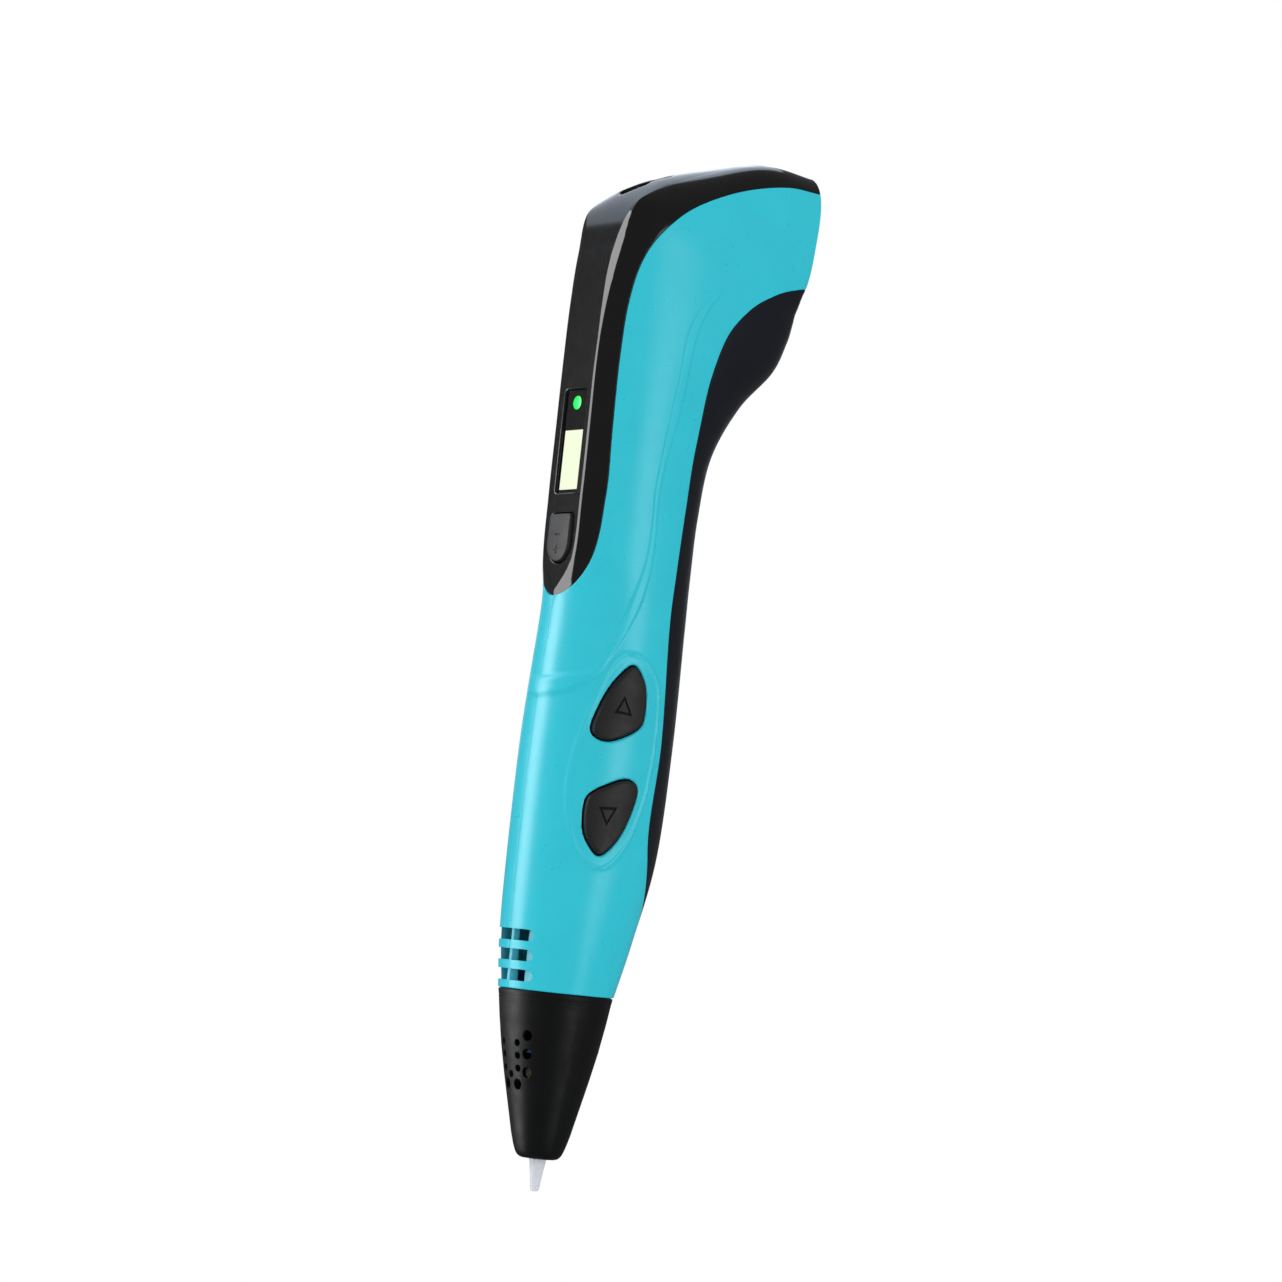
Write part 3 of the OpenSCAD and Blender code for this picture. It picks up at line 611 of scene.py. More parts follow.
# Housing screws as y and z, and the wells in the left shell that they sit in.
SCREWS = [(-6.5, 47.2), (5.6, 66.0), (5.0, 107.0), (20.0, 172.0)]
SCREW_WELL_R = 1.35
SCREW_BOSS_R = 1.7
SCREW_HEAD_X = 6.2
SCREW_SEAT = 1.2
WELL_STEPS = 36
SCREW_HOLE_R = 0.7
BOSS_SINK = 0.9


def side_loops(keys):
    """Closed loops of the right shell; keys adds what goes round the drive buttons."""
    extra = RIM_ROWS + REAR_ROWS + PANEL_TIP_ROWS + COVER_TIP_ROWS + [
        PANEL_START - TIP_GAP, COVER_START - TIP_GAP]
    t = places_along(65, 0, LAST, key_side_step if keys else side_step, extra)
    body = np.linspace(0, 1, SHELL_COLUMNS)
    starts = (PANEL_START, COVER_START)
    radius = [np.where(t < start, CLOSED_ROUND, EDGE_ROUND) for start in starts]
    gap = [np.where(t < start, CLOSED_SEAM, SEAM) for start in starts]

    def shape(p, normal, rows):
        y, z = p[..., 1], p[..., 2]
        relief = band_relief(y, z, keys)
        if keys:
            relief = relief + oval_relief(y, z) + hole_relief(y, z)
        relief = relief - rim_fall(z) - rear_fall(rows)
        return p + normal * relief[..., None]

    loops = patch(t, panel_angle(t), cover_angle(t), lambda i, length: body, radius, gap, shape)
    return with_side_rear(loops)


def right_shell(material, dark, painted_light_wall):
    shell = painted(lofted("right_shell_body", side_loops(True)), material)
    holes = [prism(name, grown(key["outline"], KEY_GAP), 5, 18, along_x) for name, key in KEYS.items()]
    # dark is painted shade: the walls of the button holes are coloured near-black for the shadow in the
    # gap.
    cut(shell, holes, dark)
    # The slot walls take the paler turquoise, which is painted light for their lit end walls.
    cut(shell, slot_cutters(1), painted_light_wall)
    return shell


def left_shell(material, painted_light_wall):
    shell = painted(lofted("left_shell_body", side_loops(False) * [-1, 1, 1]), material)
    wells = [screw_well(y, z) for y, z in SCREWS]
    # The slot and well walls take the paler turquoise, which is painted light.
    cut(shell, slot_cutters(-1) + wells, painted_light_wall)
    return shell


def screw_well(y, z):
    outline = circle(y, z, SCREW_WELL_R, WELL_STEPS)
    return prism("screw_well", outline, -SCREW_HEAD_X + 0.1, -20, along_x)


def screw_bosses(material):
    """Tubes that carry the screw heads, from just under the skin down to the seats."""
    seat = -SCREW_HEAD_X + SCREW_SEAT
    profile = [(None, SCREW_WELL_R), (None, SCREW_BOSS_R), (seat, SCREW_BOSS_R),
               (seat, SCREW_HOLE_R), (seat - SCREW_SEAT, SCREW_HOLE_R), (seat - SCREW_SEAT, SCREW_WELL_R)]
    points, faces = [], []
    for y, z in SCREWS:
        faces += ring_faces(len(profile), WELL_STEPS, len(profile), len(points))
        for x, r in profile:
            for at_y, at_z in circle(y, z, r, WELL_STEPS):
                on_wall = TREE_LEFT.ray_cast(Vector((-30, at_y, at_z)), Vector((1, 0, 0)))[0]
                points.append((on_wall.x + BOSS_SINK if x is None else x, at_y, at_z))
    return painted(new_object("left_shell_bosses", points, faces), material)


# ---- back cover ----

COVER_COLUMNS = 90
COVER_STEP = 0.5


def back_cover(material):
    t = places_along(150, COVER_START, LAST, lambda z: COVER_STEP, REAR_ROWS + COVER_TIP_ROWS)
    edge = cover_angle(t)
    body = np.linspace(0, 1, COVER_COLUMNS)
    radius = [np.full(len(t), EDGE_ROUND)] * 2
    gap = [np.full(len(t), SEAM)] * 2

    def shape(p, normal, rows):
        return p - normal * rear_fall(rows)[..., None]

    loops = patch(t, edge, 360 - edge, lambda i, length: body, radius, gap, shape)
    return painted(lofted("back_cover_body", with_middle_rear(loops, edge[-1])), material)


# ---- face panel ----

CREASE_REACH = 2.5
FACET_ANGLE = 11
FACET_SOFT = 0.012
# Width of the facet along the crease at heights up the panel.
FACET = [(100, 2.2), (104, 1.9), (107, 1.1), (110.5, 0.42), (118, 0.34), (150, 0.34), (156, 0.75),
         (161, 1.3), (165, 1.6), (168, 1.45), (171, 0.95), (173.5, 0.4), (175, 0.2), (178, 0.12)]
# Crown of the panel's top round these places t: up at the middle, down at the creases.
CROWN_START, CROWN_RISE = 10.6, 1.1
CROWN_END, CROWN_FALL = 11.7, 2.2
CROWN_UP, CROWN_DOWN = 0.9, 0.7
CROWN_REACH = 7.0
# Opening on top: a circle round the socket in front, one behind the filament hole, and the neck
# between them.
OPENING_FRONT_R, OPENING_BACK_R, OPENING_NECK = 2.5, 1.7, 1.5
OPENING_BACK_Y = 1.0
OPENING_RIM = 0.45
OPENING_STEPS = 16
# Rows are closer together at these heights, round the opening.
PANEL_FINE_STEP, PANEL_FINE_FROM, PANEL_FINE_TO = 0.2, 172.5, 182


def opening_outline():
    """Outline of the opening on top, as x and y."""
    front_y = mount_place("power_socket")[1]
    back_y = mount_place("filament_inlet")[1] + OPENING_BACK_Y
    a = math.pi - math.asin(OPENING_NECK / OPENING_FRONT_R)
    b = math.pi - math.asin(OPENING_NECK / OPENING_BACK_R)
    front = [(OPENING_FRONT_R * math.sin(s), front_y - OPENING_FRONT_R * math.cos(s))
             for s in np.linspace(-a, a, OPENING_STEPS)]
    back = [(OPENING_BACK_R * math.sin(s), back_y + OPENING_BACK_R * math.cos(s))
            for s in np.linspace(b, -b, OPENING_STEPS)]
    return np.array(front + back)


def panel_columns(t):
    """Columns of the panel, close together at the creases."""
    ring = ring_at(t)

    def columns(i, length):
        half = length / 2
        flat = ring[i][5]
        stops = [0, 3.3, flat - CREASE_REACH, flat + 1.0, half]
        share = [0, 0.35, 0.45, 0.8, 1]
        for k in range(1, 4):
            stops[k] = min(max(stops[k], stops[k - 1] + 0.01 * half), share[k] * half)
        counts = [16, 4, 30, 12]
        out = [0.0]
        for k, n in enumerate(counts):
            out += list(np.linspace(stops[k], stops[k + 1], n + 1)[1:])
        out = np.array(out)
        return (np.concatenate([-out[:0:-1], out]) + half) / length

    return columns


def panel_step(z):
    return PANEL_FINE_STEP if PANEL_FINE_FROM < z < PANEL_FINE_TO else ROW_STEP


def face_panel(material, dark):
    facet_at, facet_width = np.array(FACET).T
    t = places_along(0, PANEL_START, LAST, panel_step, REAR_ROWS + PANEL_TIP_ROWS)
    edge = panel_angle(t)
    radius = [np.full(len(t), EDGE_ROUND)] * 2
    gap = [np.full(len(t), SEAM)] * 2
    mouth = opening_outline()

    def shape(p, normal, rows):
        ring = ring_at(rows)
        along = np.stack([0 * rows, ring[..., 2] - ring[..., 0], ring[..., 3] - ring[..., 1]], -1)
        along /= np.linalg.norm(along, axis=-1, keepdims=True)
        away = (p[..., 1] - ring[..., 0]) * along[..., 1] + (p[..., 2] - ring[..., 1]) * along[..., 2]
        width = np.interp(ring[..., 1], facet_at, facet_width)
        slope = math.tan(math.radians(FACET_ANGLE))
        facet = (np.abs(p[..., 0]) - (ring[..., 5] - width)) * slope
        lowered = (facet + away + np.sqrt((facet - away) ** 2 + FACET_SOFT ** 2)) / 2
        rise = smooth_step((rows - CROWN_START) / CROWN_RISE)
        rise = rise * (1 - smooth_step((rows - CROWN_END) / CROWN_FALL))
        share = np.minimum(np.abs(p[..., 0]) / np.maximum(ring[..., 5], 1), 1) ** 2
        fade = 1 - smooth_step(away / CROWN_REACH)
        crown = rise * fade * (CROWN_UP * (1 - share) - CROWN_DOWN * share)
        near = (np.abs(p[..., 0]) > ring[..., 5] - width - 0.3) & (ring[..., 5] > 0.3)
        p = p + along * np.where(near, np.maximum(lowered - away, 0), 0)[..., None]
        p[..., 2] += crown
        distance, inside = distance_to(mouth, p[..., 0], p[..., 1])
        on_top = (p[..., 2] > 170) & (p[..., 1] < 8)
        rim = np.where(inside, OPENING_RIM, round_off(distance, OPENING_RIM))
        fall = np.where(on_top, rim, 0) + rear_fall(rows)
        return p - normal * fall[..., None]

    loops = with_middle_rear(patch(t, -edge, edge, panel_columns(t), radius, gap, shape), edge[-1])
    panel = painted(lofted("face_panel_body", loops, PANEL_SMOOTH_ANGLE), material)
    mouth_cut = prism("mouth", mouth, 168, 186, lambda u, v, d: (u, v, d))
    cut(panel, [mouth_cut, rocker_hole(), window_hole()], dark, PANEL_SMOOTH_ANGLE)
    return panel


PANEL_FACE = RINGS[6][0]
CUT_INSIDE, CUT_OUTSIDE = 2.0, 3.0
WINDOW_RIM = 0.35
WINDOW_CORNER = 0.6
WINDOW_GAP = 0.05
WINDOW_FIT = 0.06


def flared(name, outline_at, radius):
    """Cutter with a mouth rounded to radius at the panel's face; outline_at(grow) is its outline."""
    levels = [(CUT_INSIDE, 0), (radius, 0)]
    levels += [(radius * (1 - math.sin(a)), radius * (1 - math.cos(a))) for a in QUARTER[1:]]
    levels += [(-CUT_OUTSIDE, radius)]
    return lofted(name, [[(x, PANEL_FACE + depth, z) for x, z in outline_at(grow)]
                         for depth, grow in levels])


def window_outline(grow):
    low, high = span("display_window")
    corner = WINDOW_CORNER + grow
    x1, z0, z1 = high[0] + WINDOW_GAP + grow, low[2] - WINDOW_GAP - grow, high[2] + WINDOW_GAP + grow
    turn = np.linspace(0, math.pi / 2, 6)
    out = []
    for cx, cz, start in [(x1 - corner, z0 + corner, -math.pi / 2), (x1 - corner, z1 - corner, 0),
                          (corner - x1, z1 - corner, math.pi / 2), (corner - x1, z0 + corner, math.pi)]:
        out += [(cx + corner * math.cos(start + a), cz + corner * math.sin(start + a)) for a in turn]
    return out


def window_hole():
    return flared("window_hole", window_outline, WINDOW_RIM)


# ---- rocker ----

ROCKER_GAP = 0.2
ROCKER_RIM = 0.2
ROCKER_CORNER = 0.8
ROCKER_ROUND = 0.4
ROCKER_CROWN = 0.08
ROCKER_DEEP = 1.2
MINUS_UP, PLUS_DOWN = 0.55, 2.15
BAR_HALF_WIDTH, BAR_HALF_LENGTH = 0.16, 0.75
ROCKER_MARK_DEPTH = 0.06


def shield(grow):
    """Round-bottomed shield outline of the rocker, as x and z."""
    low, high = span("rocker_button")
    r = high[0] + grow
    bottom = low[2] + high[0]
    top = high[2] + grow
    corner = max(ROCKER_CORNER + grow, 0.15)
    out = [(r * math.sin(a), bottom - r * math.cos(a)) for a in np.linspace(-math.pi / 2, math.pi / 2, 25)]
    turn = np.linspace(0, math.pi / 2, 6)
    out += [(r - corner + corner * math.cos(a), top - corner + corner * math.sin(a)) for a in turn]
    out += [(corner - r - corner * math.sin(a), top - corner + corner * math.cos(a)) for a in turn]
    return out


def rocker_hole():
    return flared("rocker_hole", lambda grow: shield(ROCKER_GAP + grow), ROCKER_RIM)


def rocker(material, mark):
    low, high = span("rocker_button")
    face = low[1]
    loops = [[(x, PANEL_FACE + ROCKER_DEEP, z) for x, z in shield(0)]]
    for a in QUARTER:
        loops.append([(x, face + ROCKER_ROUND * (1 - math.sin(a)), z)
                      for x, z in shield(-ROCKER_ROUND * (1 - math.cos(a)))])
    centre = (low[2] + high[2]) / 2
    last = np.array(loops[-1])
    for s in (0.8, 0.55, 0.3, 0.1):
        row = last.copy()
        row[:, 0] *= s
        row[:, 2] = centre + (row[:, 2] - centre) * s
        row[:, 1] -= ROCKER_CROWN * (1 - s * s)
        loops.append(row)
    button = painted(lofted("rocker_body", loops), material)
    minus, plus = centre + MINUS_UP, centre - PLUS_DOWN
    wide, slim = BAR_HALF_LENGTH, BAR_HALF_WIDTH
    marks = []
    for z, w, h in ((minus, wide, slim), (plus, wide, slim), (plus, slim, wide)):
        outline = box_outline(-w, w, z - h, z + h)
        marks.append(prism("mark", outline, face - 1, face + ROCKER_MARK_DEPTH, along_y))
    cut(button, marks, mark)
    return button


# ---- drive button caps ----

KEY_DEEP = 1.9
KEY_CROWN = 0.1


def drive_button(key, material, mark):
    """Cap that follows the skin, with a round edge, a slight crown and an engraved triangle."""
    outline = key["outline"]
    centre = outline.mean(axis=0)
    levels = [(outline, -KEY_DEEP)]
    for a in QUARTER:
        ring = grown(outline, -KEY_ROUND * (1 - math.cos(a)))
        levels.append((ring, KEY_RISE - KEY_ROUND * (1 - math.sin(a))))
    inner = grown(outline, -KEY_ROUND)
    for s in np.linspace(0.93, 0.05, 14):
        levels.append((centre + (inner - centre) * s, KEY_RISE + KEY_CROWN * (1 - s * s)))
    loops = [[(on_skin(y, z) + rise, y, z) for y, z in ring] for ring, rise in levels]
    button = painted(lofted(key["node"] + "_cap", loops), material)
    cut(button, [triangle_cutter(key)], mark)
    return button


def triangle_cutter(key):
    """Frame that engraves the outline of the triangle."""
    my, mz = key["mark_at"]
    corners = np.array(MARK) * [1, key["turn"]]
    line = np.vstack([corners, corners[:1]])
    path = []
    for s in np.linspace(0, 3, MARK_STEPS + 1)[:-1]:
        k = int(s)
        path.append(line[k] + (line[k + 1] - line[k]) * (s - k))
    outer, inner = np.array(path) * MARK_OUTER, np.array(path) * MARK_INNER
    points = []
    for ring, depth in ((outer, -MARK_CLEAR), (outer, MARK_DEPTH), (inner, MARK_DEPTH),
                        (inner, -MARK_CLEAR)):
        for y, z in ring:
            surface = on_skin(my + y, mz + z) + KEY_RISE + MARK_CROWN
            points.append((surface - depth, my + y, mz + z))
    return new_object("triangle", points, ring_faces(4, MARK_STEPS, 4))


# ---- cone and nozzle ----

CONE = [(1.75, 5.7), (2.9, 5.72), (3.35, 5.85), (3.75, 6.15), (4.08, 6.6), (4.3, 7.1), (4.6, 7.9),
        (5.2, 10), (6.35, 15), (7.5, 20), (8.55, 25), (9.4, 30)]
CONE_TOP_R = 10.1
CONE_WALL = 1.3
CONE_TIP_HOLE = (1.75, 7.0)
# Rows at these heights are close together, so that the cut edges stay clean.
CONE_ROWS = np.arange(17, 29.5, 0.5)
# Holes as angle from the front, height and radius; each stands on both sides.
CONE_HOLES = [(28, 20.5, 0.88), (28, 23.7, 0.88), (28, 26.9, 0.88), (14, 21.1, 0.58),
              (14, 23.3, 0.58), (14, 25.5, 0.58), (12, 18.3, 0.88)]
CONE_MIDDLE_HOLE = (0, 20.0, 0.58)
CONE_RIM = 0.2
CONE_SEAT = 0.01
CONE_LIP = 0.3
GROOVES = [(1.2, 0.035), (1.75, 0.03), (2.3, 0.02)]
GROOVE_HALF = 0.12
HOLE_RIM, HOLE_RIM_DEPTH = 0.06, 0.12


def cone_radius(z):
    heights = [p[1] for p in CONE[6:]] + [RINGS[0][1]]
    radii = [p[0] for p in CONE[6:]] + [CONE_TOP_R]
    return float(np.interp(z, heights, radii))


def cone_profile():
    """Closed section of the cone: up its outside, over the rim and back down the inside."""
    top = span("nozzle_cone")[1][2]
    rim, seat = cone_radius(top), RINGS[0][1] - CONE_SEAT
    profile = [p for p in CONE if p[1] < CONE_ROWS[0]] + [(cone_radius(z), z) for z in CONE_ROWS]
    profile.append(CONE[-1])
    for depth, cut_in in reversed(GROOVES):
        z = top - depth
        for dz, share in ((-GROOVE_HALF, 0), (0, 1), (GROOVE_HALF, 0)):
            profile.append((cone_radius(z + dz) - cut_in * share, z + dz))
    for a in QUARTER:
        profile.append((rim - CONE_RIM * (1 - math.cos(a)), top - CONE_RIM + CONE_RIM * math.sin(a)))
    profile += [(rim - CONE_LIP, top), (rim - CONE_LIP - 0.04, seat), (rim - CONE_WALL, seat)]
    return profile + [(r - CONE_WALL, z) for r, z in CONE[:5:-1]] + [CONE_TIP_HOLE]


def cone_hole(angle, z, r):
    """Cutter of a round hole with a slightly flared mouth."""
    a = math.radians(angle)
    out, side = np.array([math.sin(a), -math.cos(a)]), np.array([math.cos(a), math.sin(a)])
    wide = cone_radius(z)
    loops = []
    for reach, grow in ((wide - CONE_WALL - 1.5, 0), (wide - HOLE_RIM_DEPTH, 0),
                        (wide - 0.02, HOLE_RIM), (wide + 2, 0.9)):
        loops.append([(*(out * reach + side * (r + grow) * math.cos(b)), z + (r + grow) * math.sin(b))
                      for b in around(28)])
    return lofted("hole", loops)


def cone(material, dark):
    body = painted(turned("nozzle_cone_body", cone_profile(), 128), material)
    spots = [(side * angle, z, r) for angle, z, r in CONE_HOLES for side in (1, -1)]
    cut(body, [cone_hole(*spot) for spot in spots + [CONE_MIDDLE_HOLE]], dark)
    return body


TIP = [(0.35, 0.05), (0.45, 0.0), (0.6, 0.05), (0.7, 0.2), (0.78, 0.5), (0.85, 1.0), (1.1, 3.0),
       (1.4, 5.0), (1.65, 6.2), (1.65, 7.4), (2.6, 9.0), (2.6, 10.5), (1.0, 10.5), (1.0, 4.0),
       (0.35, 2.6)]


def nozzle(material):
    return painted(turned("nozzle_tip_body", TIP, 64), material)


# ---- display ----

SCREEN_BACK = 0.03
SCREEN_EDGE = 0.04
LAMP_RISE = 0.08
LAMP_GAP = 0.04


def window(material):
    """Smoked plate with a clear opening over the screen and a hole for the status light."""
    low, high = span("display_window")
    plate = painted(prism("window_plate", window_outline(-WINDOW_FIT), high[1], low[1], along_y), material)
    s_low, s_high = span("screen")
    rect = box_outline(s_low[0], s_high[0], s_low[2], s_high[2])
    ring = circle(0, middle("status_light")[2], span("status_light")[1][0] + LAMP_GAP, 40)
    cut(plate, [prism("hole", outline, low[1] - 2, high[1] + 2, along_y) for outline in (rect, ring)])
    return plate


def lit_screen(material):
    low, high = span("screen")
    face = span("display_window")[0][1] + SCREEN_BACK
    loops = []
    for y, inset in ((high[1], 0), (face + SCREEN_EDGE, 0), (face, SCREEN_EDGE), (face, 0.8), (face, 2.2)):
        x1, z0, z1 = high[0] - 0.01 - inset, low[2] + 0.01 + inset, high[2] - 0.01 - inset
        loops.append([(x, y, z) for x, z in box_outline(-x1, x1, z0, z1)])
    return painted(lofted("screen_glass", loops), material)


def status_light(material):
    high = span("status_light")[1]
    centre_z, radius = middle("status_light")[2], high[0]
    face = span("display_window")[0][1]
    rings = [(radius, high[1]), (radius, face)]
    rings += [(radius * math.cos(a), face - LAMP_RISE * math.sin(a)) for a in np.linspace(0.1, 1.5, 9)]
    loops = [[(x, y, z) for x, z in circle(0, centre_z, r, 40)] for r, y in rings]
    return painted(lofted("status_dome", loops), material)


# ---- materials ----

def srgb(red, green, blue):
    """Linear colour of a screen colour from 0 to 255."""
    return tuple((c / 255 / 12.92) if c <= 10 else ((c / 255 + 0.055) / 1.055) ** 2.4
                 for c in (red, green, blue))


class Nodes:
    """Short way to build a material's node tree."""

    def __init__(self, name):
        self.material = bpy.data.materials.new(name)
        self.material.use_nodes = True
        self.tree = self.material.node_tree
        self.shader = self.tree.nodes["Principled BSDF"]
        self.place = self.tree.nodes.new("ShaderNodeTexCoord").outputs["Object"]

    def add(self, kind, **values):
        node = self.tree.nodes.new("ShaderNode" + kind)
        for key, value in values.items():
            if key in node.inputs:
                node.inputs[key].default_value = value
            else:
                setattr(node, key, value)
        return node

    def link(self, out, into):
        self.tree.links.new(out, into)
        return into.node

    def stretched(self, scale):
        mapping = self.add("Mapping", Scale=scale)
        self.link(self.place, mapping.inputs["Vector"])
        return mapping.outputs[0]

    def noise(self, size_mm, detail=3.0, place=None):
        node = self.add("TexNoise", Scale=1 / (size_mm * MM), Detail=detail, Roughness=0.55)
        self.link(place or self.place, node.inputs["Vector"])
        return node.outputs["Fac"]

    def spread(self, value, low, high, start=0.3, end=0.7):
        node = self.add("MapRange", **{"From Min": start, "From Max": end, "To Min": low, "To Max": high})
        self.link(value, node.inputs["Value"])
        return node.outputs["Result"]

    def blend(self, share, first, second):
        node = self.add("Mix", data_type="RGBA")
        self.link(share, node.inputs["Factor"])
        for socket, colour in ((node.inputs["A"], first), (node.inputs["B"], second)):
            if isinstance(colour, tuple):
                socket.default_value = (*colour, 1)
            else:
                self.link(colour, socket)
        return node.outputs["Result"]

    def bump(self, height, depth_mm):
        node = self.add("Bump", Distance=depth_mm * MM)
        self.link(height, node.inputs["Height"])
        return node.outputs["Normal"]

    def finish(self, colour=None, roughness=None, normal=None, **values):
        for socket, out in (("Base Color", colour), ("Roughness", roughness), ("Normal", normal)):
            if out is not None:
                self.link(out, self.shader.inputs[socket])
        for key, value in values.items():
            self.shader.inputs[key.replace("_", " ")].default_value = value
        return self.material


def shade(colour, factor):
    return tuple(min(1, c * factor) for c in colour)


def plastic(name, colour, roughness, grain_mm, grain_depth, mottle, **values):
    """Moulded plastic: fine grain, uneven polish and a slow drift of colour."""
    n = Nodes(name)
    grain = n.noise(grain_mm, 4)
    slow = n.noise(9.0, 2)
    tint = n.blend(n.spread(slow, 0, 1), shade(colour, 1 - mottle), shade(colour, 1 + mottle))
    polish = n.spread(n.noise(2.2, 3), roughness * 0.9, roughness * 1.12)
    return n.finish(tint, polish, n.bump(grain, grain_depth), **values)


def metal(name, colour, roughness):
    """Turned or drawn metal with fine lines round it."""
    n = Nodes(name)
    lines = n.noise(1.5, 3, place=n.stretched((1, 1, 30)))
    tint = n.blend(n.spread(lines, 0, 1), shade(colour, 0.88), shade(colour, 1.06))
    polish = n.spread(lines, roughness * 0.75, roughness * 1.3)
    return n.finish(tint, polish, n.bump(lines, 0.004), Metallic=1.0)


def woven(name, colour):
    """Glass-fibre wrap: two crossing sets of threads."""
    n = Nodes(name)
    threads = []
    for axis, size in (("Z", 0.5), ("X", 0.6)):
        wave = n.add("TexWave", wave_type="BANDS", bands_direction=axis, Scale=1 / (size * MM) / 6.3,
                     Distortion=1.2, Detail=2.0)
        n.link(n.place, wave.inputs["Vector"])
        threads.append(wave.outputs["Fac"])
    both = n.add("Math", operation="MULTIPLY")
    n.link(threads[0], both.inputs[0])
    n.link(threads[1], both.inputs[1])
    tint = n.blend(both.outputs[0], shade(colour, 0.55), colour)
    return n.finish(tint, n.spread(both.outputs[0], 0.7, 0.95), n.bump(both.outputs[0], 0.08))


def board(name, colour):
    """Solder mask over tracks, with a little relief."""
    n = Nodes(name)
    tracks = n.add("TexBrick", Scale=1 / (3.2 * MM), offset=0.35, squash=1.6)
    tracks.inputs["Mortar Size"].default_value = 0.06
    n.link(n.place, tracks.inputs["Vector"])
    tint = n.blend(tracks.outputs["Fac"], colour, shade(colour, 1.9))
    return n.finish(tint, n.spread(n.noise(0.8), 0.28, 0.42), n.bump(tracks.outputs["Fac"], 0.03))


def backlit(name, colour, strength):
    """Blank backlit display: fine dot grid over an even glow, slightly dimmer in soft random patches."""
    n = Nodes(name)
    dots = n.add("TexChecker", Scale=1 / (0.16 * MM))
    dots.inputs["Color1"].default_value = (*colour, 1)
    dots.inputs["Color2"].default_value = (*shade(colour, 0.985), 1)
    n.link(n.place, dots.inputs["Vector"])
    glow = n.blend(n.spread(n.noise(3.0, 1), 0, 0.5), dots.outputs["Color"], shade(colour, 0.97))
    n.link(glow, n.shader.inputs["Emission Color"])
    n.shader.inputs["Emission Strength"].default_value = strength
    return n.finish(Roughness=0.2, Base_Color=(0.02, 0.025, 0.02, 1))


def lamp(name, core, rim, strength):
    """Status light: brighter in the middle of the dome."""
    n = Nodes(name)
    centre = middle("status_light") * MM
    offset = n.add("VectorMath", operation="SUBTRACT")
    offset.inputs[1].default_value = (0, centre[1], centre[2])
    n.link(n.place, offset.inputs[0])
    flat = n.add("VectorMath", operation="MULTIPLY")
    flat.inputs[1].default_value = (1, 0, 1)
    n.link(offset.outputs[0], flat.inputs[0])
    length = n.add("VectorMath", operation="LENGTH")
    n.link(flat.outputs[0], length.inputs[0])
    radius = span("status_light")[1][0] * MM
    ring = n.spread(length.outputs["Value"], 0, 1, 0.15 * radius, 0.95 * radius)
    n.link(n.blend(ring, core, rim), n.shader.inputs["Emission Color"])
    n.shader.inputs["Emission Strength"].default_value = strength
    return n.finish(normal=n.bump(n.noise(0.3), 0.004), Roughness=0.15, Base_Color=(*rim, 1))


TURQUOISE = srgb(36, 205, 223)
MATERIALS = {
    "turquoise_shell": plastic("turquoise_plastic", TURQUOISE, 0.3, 0.3, 0.0012, 0.02),
    "black_panel": plastic("gloss_black_plastic", srgb(20, 20, 21), 0.13, 0.5, 0.0006, 0.06),
    "navy_cover": plastic("navy_satin_plastic", srgb(18, 22, 34), 0.42, 0.2, 0.003, 0.06,
                          Specular_IOR_Level=0.35),
    "cone_black": plastic("heat_proof_black", srgb(9, 11, 15), 0.5, 0.16, 0.0015, 0.06,
                          Specular_IOR_Level=0.35),
    "soft_button": plastic("soft_touch_charcoal", srgb(32, 32, 35), 0.5, 0.14, 0.003, 0.05),
    "inner_plastic": plastic("inner_moulding", srgb(50, 130, 195), 0.5, 0.4, 0.006, 0.08),
    "ceramic": plastic("white_ceramic", srgb(226, 229, 236), 0.32, 0.12, 0.003, 0.02,
                       Subsurface_Weight=0.15, Subsurface_Scale=0.0006),
    "heater_ceramic": plastic("heater_ceramic", srgb(214, 208, 196), 0.7, 0.2, 0.01, 0.06),
    "insulation_wrap": woven("glass_fibre_wrap", srgb(196, 178, 132)),
    "brass_parts": metal("turned_brass", srgb(214, 178, 96), 0.24),
    "steel_parts": metal("turned_steel", srgb(200, 202, 206), 0.26),
    "dark_steel": metal("zinc_plated_steel", srgb(138, 142, 148), 0.34),
    "aluminium_collar": metal("turned_aluminium", srgb(214, 216, 220), 0.3),
    "guide_plastic": plastic("slippery_tube", srgb(226, 230, 234), 0.22, 0.5, 0.002, 0.03),
    "white_plastic": plastic("white_moulding", srgb(224, 224, 222), 0.42, 0.3, 0.005, 0.03),
    "circuit_board": board("green_solder_mask", srgb(24, 92, 52)),
    "chips": plastic("epoxy_black", srgb(32, 32, 35), 0.55, 0.12, 0.01, 0.1),
    "lead_insulation": plastic("silicone_lead", srgb(172, 34, 28), 0.45, 0.3, 0.006, 0.06),
    "lit_screen": backlit("backlit_display", srgb(240, 249, 216), 1.0),
    "window": plastic("smoked_window", srgb(22, 22, 24), 0.1, 0.5, 0.0005, 0.05),
    "status_lens": lamp("green_lamp", srgb(60, 255, 130), srgb(0, 225, 60), 1.0)}
# Painted shade: the walls of the drive buttons' holes are coloured near-black for the shadow in the gap
# round each button.
BUTTON_GAP_PAINTED_SHADE = plastic("button_gap_painted_shadow", srgb(8, 12, 15), 0.7, 0.3, 0.004, 0.1)
